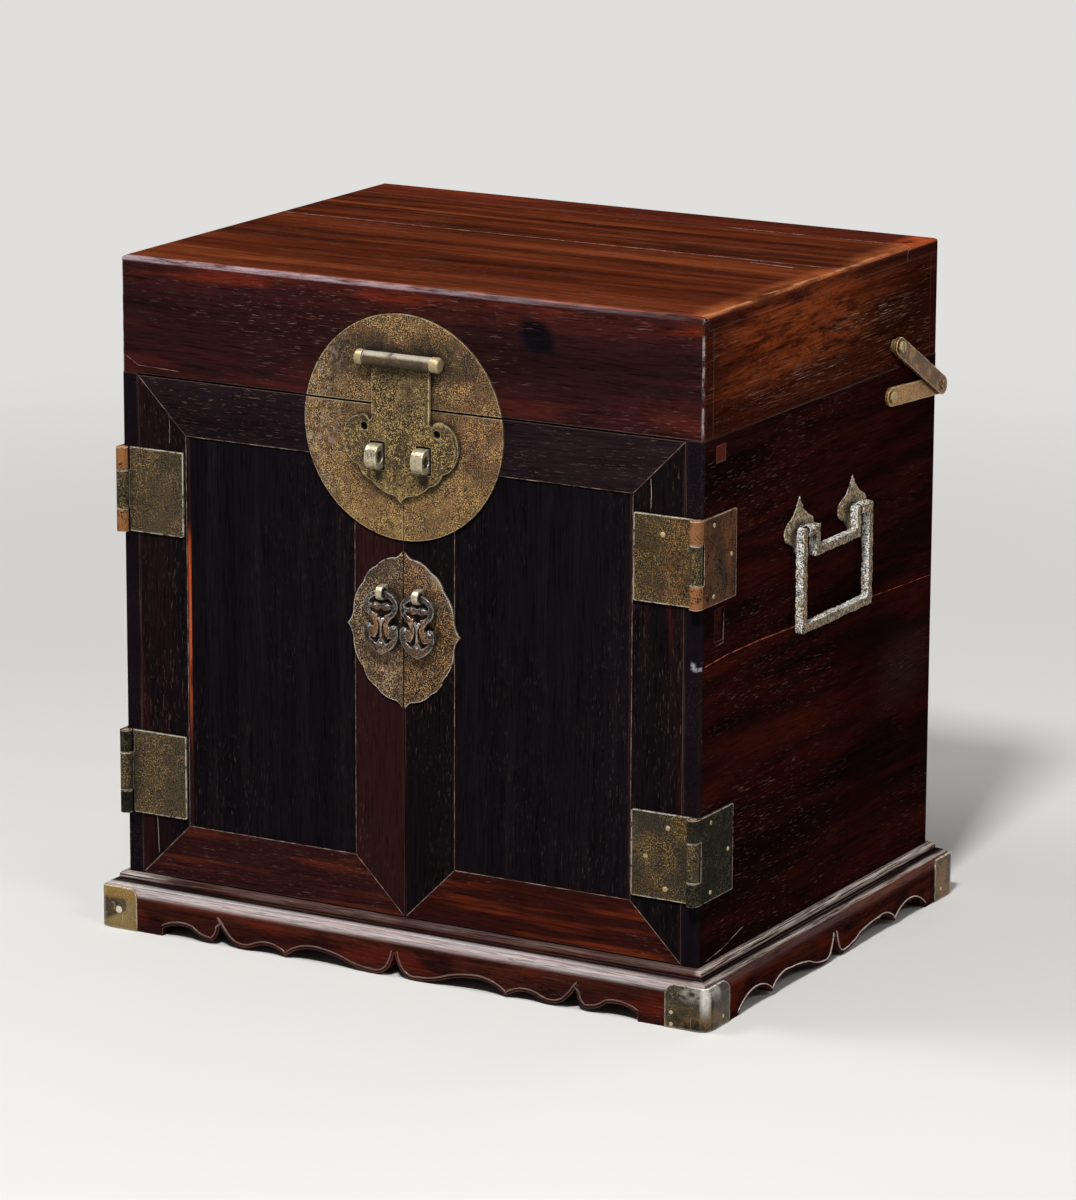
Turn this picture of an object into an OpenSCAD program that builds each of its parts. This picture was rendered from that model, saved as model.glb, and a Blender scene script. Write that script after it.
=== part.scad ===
// Small tabletop chest with a hinged lid, two panelled doors and drawers inside.
// Frame: x to the right, y to the back, z up. The origin is on the floor under the middle of the chest.

/* [Case] */
// Width of the case and the lid
body_w = 340; // [330:1:350]
// Depth of the case and the lid
body_d = 261; // [250:1:275]
// Height of the case boards, from the plinth to the lid
case_h = 268; // [262:1:276]
// Thickness of the side boards and of the lid's walls
wall_t = 9.5; // [8.5:0.5:10.5]
// Thickness of the back panel
back_t = 8; // [6:0.5:10]
// Thickness of the inner boards: floor, shelf and tray floor
board_t = 8; // [6:0.5:9]
// Radius on the upright corners of the case
corner_r = 2; // [1:0.5:3]
// Depth of the tray well under the lid
tray_depth = 99; // [90:1:105]
// Height of the front rail's upper through tenon
tenon_top_h = 8.3; // [6:0.1:9]
// Height of the front rail's lower through tenon
tenon_low_h = 16; // [12:0.5:17]
// How far the lower tenon stops short of the outside
tenon_recess = 1.5; // [0.5:0.5:3]

/* [Lid] */
// Height of the lid
lid_h = 61; // [55:1:68]
// Thickness of the boards that make the lid's top
lid_board_t = 7; // [6:0.5:9]
// Radius on the lid's upper edges
lid_edge_r = 3; // [2:0.5:4]
// Width of the front wall's edge that shows in the lid's top
lid_lip = 4; // [3.5:0.5:5]
// Depth of the strip along the back of the lid's top
lid_strip_d = 30; // [24:1:36]
// Depth of the front board of the lid's top
lid_front_board_d = 148; // [130:1:160]
// Radius on the back corners of the lid's rear board
lid_board_r = 9; // [5:1:12]

/* [Plinth] */
// Height of the plinth
base_h = 29; // [27:1:32]
// How far the plinth stands out past the case
base_over = 10.9; // [10.5:0.1:12]
// How far the plinth reaches in under the case
base_in = 20; // [18:1:24]
// Radius on the plinth's upright corners
base_r = 6; // [3:0.5:7]
// Width of the bead beside the case
bead_w = 3.5; // [2.5:0.5:4]
// Height of the rounded shoulder
shoulder_h = 7.4; // [6:0.1:8]
// Length of the flat foot at each end of the front, seen from the front
foot_x = 39; // [34:1:44]
// Length of the flat foot at each end of the side
foot_y = 34; // [30:1:38]
// Height of the tallest cusp in the plinth's lower edge
cusp_h = 15; // [13:0.5:16]
// Thickness of the brass corner mounts
mount_t = 0.7; // [0.5:0.1:0.9]
// Length of each arm of a corner mount
mount_w = 23.5; // [18:0.5:26]
// Height of a corner mount
mount_h = 21.5; // [16:0.5:23]

/* [Doors] */
// Thickness of the doors
door_t = 13; // [11:0.5:14]
// Width of the doors' frame members
frame_w = 29; // [26:1:32]
// Thickness of the door panels' field
panel_t = 7; // [6:0.5:8]
// How far the panels lie behind the frame's face
panel_back = 0.8; // [0.4:0.2:1.5]
// Depth of the groove that holds a panel
groove_d = 5; // [4:0.5:6]
// Width of the tongue on a panel's edge
tongue_t = 3.6; // [3:0.2:4]
// Gap round each door
door_gap = 0.5; // [0.4:0.1:0.7]
// Gap over and under the doors
door_end_gap = 0.8; // [0.6:0.1:1]

/* [Hardware] */
// Thickness of the brass plates on the doors and the lid
plate_t = 1.2; // [1:0.1:1.4]
// Diameter of the round lock plate
lock_d = 116; // [110:1:120]
// Distance from the lid's parting line down to the lock plate's middle
lock_drop = 11; // [9:1:14]
// Distance from the parting line down to the pull plate's middle
pull_drop = 115.7; // [112:0.5:122]
// Height of the pull plate
pull_h = 83; // [78:1:86]
// Width of the pull plate over both doors
pull_w = 66; // [62:1:68]
// Distance of the pulls' staples from the middle
ring_x = 10.6; // [10.5:0.1:12]
// Width of the hasp's lobes
hasp_w = 66.6; // [64:0.2:69]
// Width of the hasp's neck
neck_w = 33.6; // [32:0.2:35]
// Thickness of the hasp
hasp_t = 1.8; // [1.4:0.1:2]
// Drop of the hasp's tip under the lock staples
hasp_drop = 23.2; // [22:0.2:25]
// Rise of the hasp's lobes over the lock staples
hasp_rise = 19.6; // [18:0.2:21]
// Height of the hasp bar above the parting line
bar_up = 24; // [22:0.5:26]
// Length of the hasp bar over its end knobs
bar_len = 49; // [47:0.5:52]
// Diameter of the hasp's knuckle
knuckle_d = 7.2; // [6.6:0.1:7.4]
// Distance from the middle to each lock staple
staple_x = 13.5; // [13:0.1:14]
// Distance from the parting line down to the lock staples
staple_drop = 26; // [25:0.5:27]
// Width of a lock staple's strap
staple_w = 7; // [6:0.2:7.4]
// Diameter of the hole for the lock's bar
lock_bore_d = 6; // [5.5:0.1:6.2]
// Diameter of the staples' shanks and the stay's screws
shank_d = 3.2; // [2.8:0.1:3.6]

/* [Door hinges] */
// Length of a door hinge
hinge_h = 44.6; // [42:0.2:48]
// Width of a door hinge's front leaf, from the barrel's middle
leaf_x = 36; // [33:0.5:38]
// Width of a door hinge's side leaf, from the barrel's middle
leaf_y = 36.5; // [33:0.5:40]
// Diameter of a door hinge's barrel
barrel_d = 6.4; // [6:0.1:7]
// Diameter of the door hinge pins
pin_d = 2.8; // [2.4:0.1:3.2]
// Distance from the parting line down to the upper hinge's middle
hinge_top_drop = 61; // [56:1:66]
// Distance from the plinth up to the lower hinge's middle
hinge_low_up = 55.6; // [50:0.5:60]
// How far a hinge barrel's middle lies inside the case's side
hinge_inset = 1.8; // [1.6:0.1:2]

/* [Lid hinges] */
// Distance of each lid hinge from the middle
lid_hinge_x = 100; // [80:1:115]
// Width of a lid hinge
lid_hinge_w = 30; // [26:1:36]
// Length of a lid hinge's leaf, from the barrel
lid_leaf_z = 34; // [28:1:40]
// Diameter of the lid hinges' barrel
lid_barrel_d = 6.4; // [6:0.1:6.8]
// Diameter of the lid hinges' pins
lid_pin_d = 2.8; // [2.4:0.1:3]

/* [Handles] */
// Distance from the parting line down to the bails' pivots
handle_drop = 63.5; // [60:0.5:68]
// Distance of the handles' middle behind the middle of the chest
handle_back = 2; // [0:0.5:4]
// Distance of each handle post from the handle's middle
post_y = 30; // [28:0.5:32]
// Length of a handle post's eye along the pivot
post_t = 8.6; // [7:0.2:9]
// Distance of the bails' pivots from the side board
post_out = 6.2; // [6:0.1:6.8]
// Side of the bail's square rod
bail_s = 4.8; // [4.2:0.1:5]
// Drop from a bail's pivot to the middle of its lower bar
bail_drop = 50; // [46:1:54]
// Drop from a bail's pivot to the middle of its crossbar
cross_drop = 12; // [10.5:0.5:14]
// Height of a handle's back plate
leaf_plate_h = 30; // [26:1:34]
// Width of a handle's back plate
leaf_plate_w = 33; // [30:1:35]
// Diameter of the bail's pivot pins
bail_pin_d = 3.6; // [3.2:0.1:3.8]

/* [Lid stay] */
// Width of the stay's links
link_w = 10; // [8:0.5:11]
// Thickness of the stay's links
link_t = 1.8; // [1.5:0.1:2]
// Distance from the back to the stay's pivot on the lid
stay_lid_in = 52.2; // [50:0.1:54]
// Height of that pivot above the parting line
stay_lid_up = 12.3; // [10:0.1:14]
// Distance from the back to the stay's pivot on the case
stay_case_in = 57; // [55:0.1:59]
// Drop of that pivot under the parting line
stay_case_drop = 13.7; // [12:0.1:16]
// Distance from the back to the stay's knee
knee_in = 0.5; // [0:0.1:2.5]
// Drop of the knee under the parting line
knee_drop = 17; // [15:0.1:19]

/* [Drawers] */
// Distance of the drawer fronts behind the front rail
drawer_back = 0.7; // [0.5:0.1:1]
// Width of the guide strips beside the drawers
guide_w = 12; // [12:0.5:16]
// Thickness of the divider between the drawers
divider_t = 8; // [6:0.5:10]
// Thickness of a drawer's front
drawer_front_t = 8; // [7:0.5:10]
// Thickness of a drawer's sides and back
drawer_side_t = 6; // [5:0.5:7]
// Thickness of a drawer's bottom
drawer_bottom_t = 4; // [3:0.5:5]
// Gap round a drawer
drawer_gap = 0.6; // [0.4:0.1:0.8]
// Diameter of the drawer knobs
knob_d = 10; // [9:0.5:12]

/* [Hidden] */
$fn = 40;

// Clearance between boards that fit into each other
fit = 0.1;
// Clearance between pieces that move past each other
run = 0.3;
// Radial clearance of pins in their bores
pin_fit = 0.05;
// Bulge of a quarter circle in an outline
quarter = tan(22.5);
// Amount by which cutters reach past what they cut
over = 1;

side_x = body_w / 2;
back_y = body_d / 2;
front_y = -back_y;
inner_x = side_x - wall_t;
parting_z = base_h + case_h;
lid_z = parting_z + run;
top_z = lid_z + lid_h;

floor_top = base_h + board_t;
door_back_y = front_y + door_t;
rail_y = door_back_y + door_gap;
rail_t = 9.6;
drawer_y = rail_y + rail_t + drawer_back;
tray_top = parting_z - tray_depth;
tray_low = tray_top - board_t;
shelf_z = (floor_top + tray_low - board_t) / 2;
panel_y = back_y - back_t;
dado_d = wall_t * 0.42;

door_x0 = 0.3;
door_x1 = inner_x - door_gap;
door_z0 = base_h + door_end_gap;
door_z1 = parting_z - door_end_gap;
door_bevel = 0.6;
groove_y = front_y + panel_back + (panel_t - tongue_t) / 2;

plate_y = front_y - plate_t;
lock_z = parting_z - lock_drop;
pull_z = parting_z - pull_drop;
staple_z = parting_z - staple_drop;
bar_z = parting_z + bar_up;
bar_y = plate_y - knuckle_d / 2 - 0.7;
bar_d = 4;
hasp_y = plate_y - 0.9;
bore_y = hasp_y - hasp_t - lock_bore_d / 2 - run;

hinge_x = side_x - hinge_inset;
leaf_gap = 0.2;
leaf_corner = 0.8;
hinge_y = front_y - leaf_gap - barrel_d / 2;
hinge_zs = [parting_z - hinge_top_drop, base_h + hinge_low_up];
leaf_notch = 0.8;
middle_share = 0.46;

lid_hinge_y = back_y + leaf_gap + lid_barrel_d / 2;
lid_hinge_z = parting_z + run / 2;

pivot_x = side_x + post_out;
pivot_z = parting_z - handle_drop;
post_ys = [handle_back - post_y, handle_back + post_y];

stay_lid = [back_y - stay_lid_in, parting_z + stay_lid_up];
stay_case = [back_y - stay_case_in, parting_z - stay_case_drop];
stay_knee = [back_y - knee_in, parting_z - knee_drop];
lower_link_x = side_x + 0.4;
upper_link_x = lower_link_x + link_t + run;

drawer_x0 = divider_t / 2 + drawer_gap;
drawer_x1 = inner_x - guide_w - drawer_gap;
drawer_y1 = panel_y - over;
pull_ring_d = 4.6;

// Points along an arc from p to q, without q; the bulge is the tangent of a quarter of its angle
function arc_points(p, q, bulge, n) =
    abs(bulge) < 0.001 ? [p] :
    let (
        step = q - p,
        chord = norm(step),
        turn = 4 * atan(bulge),
        radius = chord / 2 / sin(turn / 2),
        centre = (p + q) / 2 + [-step[1], step[0]] / chord * radius * cos(turn / 2),
        start = atan2(p[1] - centre[1], p[0] - centre[0])
    )
    [for (i = [0 : n - 1]) centre + abs(radius) * [cos(start + turn * i / n), sin(start + turn * i / n)]];

// Closed outline from corners [x, y, bulge of the side that follows]
function outline(corners, n = 6) = [
    for (i = [0 : len(corners) - 1])
        let (a = corners[i], b = corners[(i + 1) % len(corners)])
        each arc_points([a[0], a[1]], [b[0], b[1]], a[2], n)
];

// Rectangle with its four corners rounded
function round_rect(x0, y0, x1, y1, r) = outline([
    [x0 + r, y0, 0], [x1 - r, y0, quarter], [x1, y0 + r, 0], [x1, y1 - r, quarter],
    [x1 - r, y1, 0], [x0 + r, y1, quarter], [x0, y1 - r, 0], [x0, y0 + r, quarter]
], 4);

// An outline in x and z, made solid from y0 to y1
module along_y(y0, y1) {
    translate([0, y1, 0]) rotate([90, 0, 0]) linear_extrude(y1 - y0) children();
}

// An outline in y and z, made solid from x0 to x1
module along_x(x0, x1) {
    translate([x0, 0, 0]) rotate([90, 0, 90]) linear_extrude(x1 - x0) children();
}

module block(x0, x1, y0, y1, z0, z1) {
    translate([x0, y0, z0]) cube([x1 - x0, y1 - y0, z1 - z0]);
}

module rod_x(d, x0, x1, y, z) {
    translate([x0, y, z]) rotate([0, 90, 0]) cylinder(h = x1 - x0, d = d);
}

module rod_y(d, y0, y1, x, z) {
    translate([x, y1, z]) rotate([90, 0, 0]) cylinder(h = y1 - y0, d = d);
}

module rod_z(d, z0, z1, x, y) {
    translate([x, y, z0]) cylinder(h = z1 - z0, d = d);
}

// The piece as drawn for the right-hand side, or its mirror image
module on_side(side) {
    if (side < 0) mirror([1, 0, 0]) children();
    else children();
}

module both_sides() {
    for (side = [-1, 1]) on_side(side) children();
}

module both_ends() {
    for (end = [-1, 1])
        if (end < 0) mirror([0, 1, 0]) children();
        else children();
}

// Plinth

// Section of the plinth: distance out from the case, then height
function base_section() = outline([
    [-base_in, 0, 0], [base_over, 0, 0], [base_over, base_h - 3.8 - shoulder_h, 0.3],
    [bead_w + 1.2, base_h - 3.8, 0], [bead_w, base_h - 4.4, 0], [bead_w, base_h - 1.8, quarter],
    [bead_w - 1.8, base_h, 0], [-base_in, base_h, 0]
], 5);

// One half of a cusped lower edge, as the opening under it: shares of its span and of the tallest cusp
function cusped_edge(span, points) = outline([
    [0, -over, 0], [span, -over, 0], for (p = points) [p[0] * span, p[1] * cusp_h, p[2]]
]);

function front_edge() = cusped_edge(side_x + base_over - foot_x, [
    [1, 0.27, 0.2], [0.873, 0.44, -0.2], [0.782, 0.147, -0.35], [0.757, 0.933, -0.12],
    [0.697, 0.227, -0.24], [0.605, 0.187, 0.3], [0.464, 0.067, 0.2], [0.33, 0.48, 0.06],
    [0.218, 0.293, -0.1], [0.099, 0.06, -0.3], [0.024, 0.333, -0.1], [0, 0.933, 0]
]);

function end_edge() = cusped_edge(back_y + base_over - foot_y, [
    [1, 0.04, 0.1], [0.898, 0.493, 0.26], [0.655, 0.147, 0.26], [0.469, 0.533, 0.05],
    [0.274, 0.373, -0.1], [0.102, 0.08, -0.35], [0.03, 0.4, -0.1], [0, 1, 0]
]);

module base_outline() {
    translate([0, 0, -over]) linear_extrude(base_h + 2 * over)
        polygon(round_rect(-side_x - base_over, front_y - base_over,
            side_x + base_over, back_y + base_over, base_r));
}

// Wedge that mitres a plinth member along the front, reaching past both corners
module front_mitre() {
    reach = side_x + base_over;
    short = body_d / 2 + base_over;
    translate([0, 0, -over]) linear_extrude(base_h + 2 * over)
        polygon([[-reach, -short], [reach, -short], [reach - short, 0], [short - reach, 0]]);
}

module end_mitre() {
    reach = side_x + base_over;
    short = body_d / 2 + base_over;
    translate([0, 0, -over]) linear_extrude(base_h + 2 * over)
        polygon([[reach, -short], [reach, short], [reach - short, 0]]);
}

module base_front() {
    color("#5a2417") difference() {
        intersection() {
            translate([0, front_y, 0]) rotate([0, 0, -90])
                along_y(-side_x - base_over, side_x + base_over) polygon(base_section());
            front_mitre();
            base_outline();
        }
        both_sides() along_y(front_y - base_over - over, 0) polygon(front_edge());
    }
}

module base_back() {
    mirror([0, 1, 0]) base_front();
}

module base_ends() {
    color("#5a2417") both_sides() difference() {
        intersection() {
            translate([side_x, 0, 0])
                along_y(front_y - base_over, back_y + base_over) polygon(base_section());
            end_mitre();
            base_outline();
        }
        both_ends() along_x(0, side_x + base_over + over) polygon(end_edge());
    }
}

// One corner of the plinth without its cusps, moved out and up
module plinth_corner(out, up) {
    x1 = side_x + base_over + out;
    y1 = back_y + base_over + out;
    intersection() {
        translate([side_x + out, 0, up]) along_y(0, y1) polygon(base_section());
        translate([0, back_y + out, up]) rotate([0, 0, 90]) along_y(-x1, 0) polygon(base_section());
        linear_extrude(base_h) polygon(round_rect(0, 0, x1, y1, base_r + out));
    }
}

// Mounts follow the plinth up over its rounded shoulder
module base_corner_mounts() {
    out_x = side_x + base_over;
    out_y = back_y + base_over;
    top_r = 5;
    rise = 0.4 * mount_t;
    color("#8a6d35") both_sides() both_ends() intersection() {
        difference() {
            plinth_corner(mount_t, rise);
            plinth_corner(0, 0);
        }
        along_y(0, out_y + over) polygon(outline([
            [out_x - mount_w, -over, 0], [out_x + over, -over, 0], [out_x + over, mount_h + over, 0],
            [out_x - mount_w + top_r, mount_h + over, quarter],
            [out_x - mount_w, mount_h - top_r, 0]
        ]));
        along_x(0, out_x + over) polygon(outline([
            [out_y - mount_w, -over, 0], [out_y + over, -over, 0], [out_y + over, mount_h + over, 0],
            [out_y - mount_w + top_r, mount_h + over, quarter],
            [out_y - mount_w, mount_h - top_r, 0]
        ]));
    }
}

// Case

module carcase_floor() {
    color("#6b3a22") block(-inner_x, inner_x, rail_y, panel_y, base_h, floor_top);
}

// A board that reaches into a groove in each side
module grooved_board(y0, z0) {
    block(-inner_x - dado_d, inner_x + dado_d, y0, panel_y, z0, z0 + board_t);
}

module rail_tenons(grow) {
    for (part = [[parting_z - 4.5 - tenon_top_h, tenon_top_h, 0],
                 [tray_top - 4.2, tenon_low_h, tenon_recess]])
        block(-side_x + part[2] - (grow > 0 ? tenon_recess + over : 0),
            side_x - part[2] + (grow > 0 ? tenon_recess + over : 0),
            rail_y - grow, rail_y + rail_t + grow, part[0] - grow, part[0] + part[1] + grow);
}

module handle_bores(d) {
    for (y = post_ys) rod_x(d, 0, side_x + over, y, pivot_z);
}

module side_board() {
    difference() {
        translate([0, 0, base_h]) linear_extrude(case_h) intersection() {
            polygon(round_rect(-side_x, front_y, side_x, back_y, corner_r));
            translate([inner_x, front_y]) square([wall_t, body_d]);
        }
        block(inner_x - over, inner_x + dado_d + fit, rail_y + rail_t - fit, panel_y + fit,
            tray_low - fit, tray_top + fit);
        block(inner_x - over, inner_x + dado_d + fit, drawer_y - fit, panel_y + fit,
            shelf_z - fit, shelf_z + board_t + fit);
        rail_tenons(fit);
        handle_bores(4 + 2 * pin_fit);
    }
}

module side_left() {
    color("#4a1d14") on_side(-1) side_board();
}

module side_right() {
    color("#4a1d14") difference() {
        side_board();
        rod_x(shank_d + 2 * pin_fit, inner_x - over, side_x + over, stay_case[0], stay_case[1]);
    }
}

module back_panel() {
    color("#4a1d14") block(-inner_x, inner_x, panel_y, back_y, base_h, parting_z);
}

module front_rail() {
    color("#5a2417") {
        block(-inner_x, inner_x, rail_y, rail_y + rail_t, tray_low, parting_z);
        rail_tenons(0);
    }
}

module tray_floor() {
    color("#6b3a22") grooved_board(rail_y + rail_t, tray_low);
}

module drawer_shelf() {
    color("#6b3a22") grooved_board(drawer_y, shelf_z);
}

// Lowest and highest level of each row of drawers
function drawer_rows() = [[floor_top, shelf_z], [shelf_z + board_t, tray_low]];

module drawer_dividers() {
    color("#6b3a22") for (row = drawer_rows())
        block(-divider_t / 2, divider_t / 2, drawer_y, panel_y, row[0], row[1]);
}

module drawer_guides() {
    color("#6b3a22") both_sides() for (row = drawer_rows())
        block(inner_x - guide_w, inner_x, drawer_y, panel_y, row[0], row[1]);
}

// Door hinges

function middle_z(z) = [z - hinge_h * middle_share / 2, z + hinge_h * middle_share / 2];

// Stretches of the barrel that belong to the middle knuckle, or to the outer two
function knuckles(z, middle) = middle
    ? [[middle_z(z)[0] + leaf_gap / 2, middle_z(z)[1] - leaf_gap / 2]]
    : [[z - hinge_h / 2, middle_z(z)[0] - leaf_gap / 2], [middle_z(z)[1] + leaf_gap / 2, z + hinge_h / 2]];

module barrel_parts(z, middle) {
    for (part = knuckles(z, middle)) difference() {
        rod_z(barrel_d, part[0], part[1], hinge_x, hinge_y);
        rod_z(pin_d + 2 * pin_fit, part[0] - over, part[1] + over, hinge_x, hinge_y);
    }
}

// What a leaf leaves free: the other leaf's knuckles and the pin's bore
module leaf_clearance(z, middle) {
    for (part = knuckles(z, middle))
        rod_z(barrel_d + 2 * leaf_notch, part[0] - leaf_gap, part[1] + leaf_gap, hinge_x, hinge_y);
    rod_z(pin_d + 2 * pin_fit, z - hinge_h, z + hinge_h, hinge_x, hinge_y);
}

module side_leaf(z) {
    outer_x = hinge_x + barrel_d / 2;
    half = hinge_h / 2;
    difference() {
        along_x(outer_x - plate_t, outer_x) polygon(outline([
            [hinge_y, z - half, 0], [hinge_y + leaf_y - leaf_corner, z - half, quarter],
            [hinge_y + leaf_y, z - half + leaf_corner, 0], [hinge_y + leaf_y, z + half - leaf_corner, quarter],
            [hinge_y + leaf_y - leaf_corner, z + half, 0], [hinge_y, z + half, 0]
        ], 3));
        leaf_clearance(z, true);
    }
    barrel_parts(z, false);
}

module door_hinge_side_leaves() {
    color("#8d6a3c") both_sides() for (z = hinge_zs) side_leaf(z);
}

module front_leaf(z) {
    inner_y = hinge_y + barrel_d / 2;
    half = hinge_h / 2;
    difference() {
        along_y(inner_y - plate_t, inner_y) polygon(outline([
            [hinge_x, z + half, 0], [hinge_x - leaf_x + leaf_corner, z + half, quarter],
            [hinge_x - leaf_x, z + half - leaf_corner, 0], [hinge_x - leaf_x, z - half + leaf_corner, quarter],
            [hinge_x - leaf_x + leaf_corner, z - half, 0], [hinge_x, z - half, 0]
        ], 3));
        leaf_clearance(z, false);
    }
    barrel_parts(z, true);
}

module door_leaves(side) {
    color("#7c6438") on_side(side) for (z = hinge_zs) front_leaf(z);
}

module hinge_pins() {
    lid_half = lid_hinge_w / 2;
    color("#8d6a3c") both_sides() {
        for (z = hinge_zs) rod_z(pin_d, z - hinge_h / 2, z + hinge_h / 2, hinge_x, hinge_y);
        rod_x(lid_pin_d, lid_hinge_x - lid_half, lid_hinge_x + lid_half, lid_hinge_y, lid_hinge_z);
    }
}

// Lid hinges

function lid_knuckles(middle) = let (h = lid_hinge_w / 2, m = lid_hinge_w / 6) middle
    ? [[-m + leaf_gap / 2, m - leaf_gap / 2]]
    : [[-h, -m - leaf_gap / 2], [m + leaf_gap / 2, h]];

module lid_leaf(up) {
    middle = up > 0;
    bore = lid_pin_d + 2 * pin_fit;
    inner_y = lid_hinge_y - lid_barrel_d / 2;
    both_sides() translate([lid_hinge_x, 0, 0]) {
        difference() {
            along_y(inner_y, inner_y + plate_t) polygon([
                [-lid_hinge_w / 2, lid_hinge_z], [lid_hinge_w / 2, lid_hinge_z],
                [lid_hinge_w / 2, lid_hinge_z + up * lid_leaf_z * 0.8],
                [0, lid_hinge_z + up * lid_leaf_z],
                [-lid_hinge_w / 2, lid_hinge_z + up * lid_leaf_z * 0.8]
            ]);
            for (part = lid_knuckles(!middle))
                rod_x(lid_barrel_d + 2 * leaf_notch, part[0] - leaf_gap, part[1] + leaf_gap,
                    lid_hinge_y, lid_hinge_z);
            rod_x(bore, -lid_hinge_w, lid_hinge_w, lid_hinge_y, lid_hinge_z);
        }
        for (part = lid_knuckles(middle)) difference() {
            rod_x(lid_barrel_d, part[0], part[1], lid_hinge_y, lid_hinge_z);
            rod_x(bore, part[0] - over, part[1] + over, lid_hinge_y, lid_hinge_z);
        }
    }
}

module lid_hinge_case_leaves() {
    color("#7c6438") lid_leaf(-1);
}

module lid_hinge_lid_leaves() {
    color("#7c6438") lid_leaf(1);
}

// Lid

module lid_form() {
    intersection() {
        along_y(front_y, back_y) polygon(round_top(side_x));
        along_x(-side_x, side_x) polygon(round_top(back_y));
        translate([0, 0, lid_z - over]) linear_extrude(lid_h + 2 * over)
            polygon(round_rect(-side_x, front_y, side_x, back_y, corner_r + 0.5));
    }
}

// The lid seen from one side: straight walls and rounded upper edges
function round_top(half) = outline([
    [-half, lid_z, 0], [half, lid_z, 0], [half, top_z - lid_edge_r, quarter],
    [half - lid_edge_r, top_z, 0], [-half + lid_edge_r, top_z, quarter],
    [-half, top_z - lid_edge_r, 0]
], 4);

board_low = top_z - lid_board_t;
board_front = front_y + lid_lip;
strip_front = back_y - lid_strip_d;

module rear_board_outline(gap) {
    polygon(outline([
        [-side_x - gap, board_front, 0], [side_x + gap, board_front, 0],
        [side_x + gap, strip_front - lid_board_r, quarter],
        [side_x - lid_board_r, strip_front + gap, 0],
        [-side_x + lid_board_r, strip_front + gap, quarter],
        [-side_x - gap, strip_front - lid_board_r, 0]
    ]));
}

module lid_top_boards() {
    color("#8a3f1f") intersection() {
        lid_form();
        translate([0, 0, board_low]) linear_extrude(lid_board_t + over) difference() {
            rear_board_outline(0);
            translate([-body_w, board_front + lid_front_board_d]) square([2 * body_w, 2 * fit]);
        }
    }
}

module lid_top_strip() {
    color("#7c3419") intersection() {
        lid_form();
        translate([0, 0, board_low]) linear_extrude(lid_board_t + over) difference() {
            translate([-side_x, strip_front - lid_board_r]) square([body_w, lid_strip_d + lid_board_r]);
            rear_board_outline(fit);
        }
    }
}

// Space taken by the lid's top boards
module top_seat() {
    block(-body_w, body_w, board_front, back_y + over, board_low, top_z + over);
}

module lid_front() {
    color("#4a1d14") difference() {
        intersection() {
            lid_form();
            block(-side_x, side_x, front_y, front_y + wall_t, lid_z, top_z);
        }
        top_seat();
    }
}

module lid_back() {
    color("#4a1d14") difference() {
        intersection() {
            lid_form();
            block(-side_x, side_x, back_y - wall_t, back_y, lid_z, top_z);
        }
        top_seat();
    }
}

module lid_ends() {
    color("#4a1d14") difference() {
        both_sides() intersection() {
            lid_form();
            block(inner_x, side_x, front_y + wall_t, back_y - wall_t, lid_z, board_low);
        }
        rod_x(shank_d + 2 * pin_fit, inner_x + over, side_x + over, stay_lid[0], stay_lid[1]);
    }
}

// Lock plate, hasp and staples

module lock_disc() {
    translate([0, lock_z]) circle(d = lock_d, $fn = 120);
}

module lock_plate_upper() {
    color("#7c6438") along_y(plate_y, front_y) intersection() {
        lock_disc();
        translate([-lock_d, lid_z]) square([2 * lock_d, lock_d]);
    }
}

module lock_plate_half(side) {
    color("#7c6438") on_side(side) difference() {
        along_y(plate_y, front_y) intersection() {
            lock_disc();
            translate([door_x0, door_z1 - lock_d]) square([lock_d, lock_d]);
        }
        rod_y(shank_d + 2 * pin_fit, plate_y - over, front_y + over, staple_x, staple_z);
    }
}

module hasp_bar() {
    knob_d_bar = 8;
    knob_len = 4.6;
    color("#9a8040") {
        rod_x(bar_d, -bar_len / 2 + over, bar_len / 2 - over, bar_y, bar_z);
        both_sides() {
            rod_y(knob_len - 0.4, bar_y, plate_y, bar_len / 2 - knob_len / 2, bar_z);
            translate([bar_len / 2, bar_y, bar_z]) rotate([0, -90, 0]) rotate_extrude()
                polygon(outline([
                    [0, 0, 0], [knob_d_bar / 2 - 1.4, 0, quarter], [knob_d_bar / 2, 1.4, 0],
                    [knob_d_bar / 2, knob_len, 0], [0, knob_len, 0]
                ], 3));
        }
    }
}

// Right half of the hasp's outline: its cusps go by the tip's drop and its lobes by their rise
function hasp_half() =
    let (mid = staple_z, w = hasp_w / 2, n = neck_w / 2, low = hasp_drop, up = hasp_rise) outline([
    [0, mid - low, -0.2], [0.135 * w, mid - 0.84 * low, 0.2], [0.5 * w, mid - 0.57 * low, 0.3],
    [0.73 * w, mid - 0.27 * low, 0.25], [0.975 * w, mid + 0.08 * up, 0.18], [w, mid + 0.48 * up, 0.35],
    [0.75 * w, mid + up, 0.5], [1.095 * n, mid + 0.9 * up, -0.5], [n, mid + 1.04 * up, 0],
    [n, bar_z, 0], [0, bar_z, 0]
]);

module hasp_knuckle(d) {
    half = bar_len / 2 - 4.6 - run;
    rod_x(d, -half, half, bar_y, bar_z);
}

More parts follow.
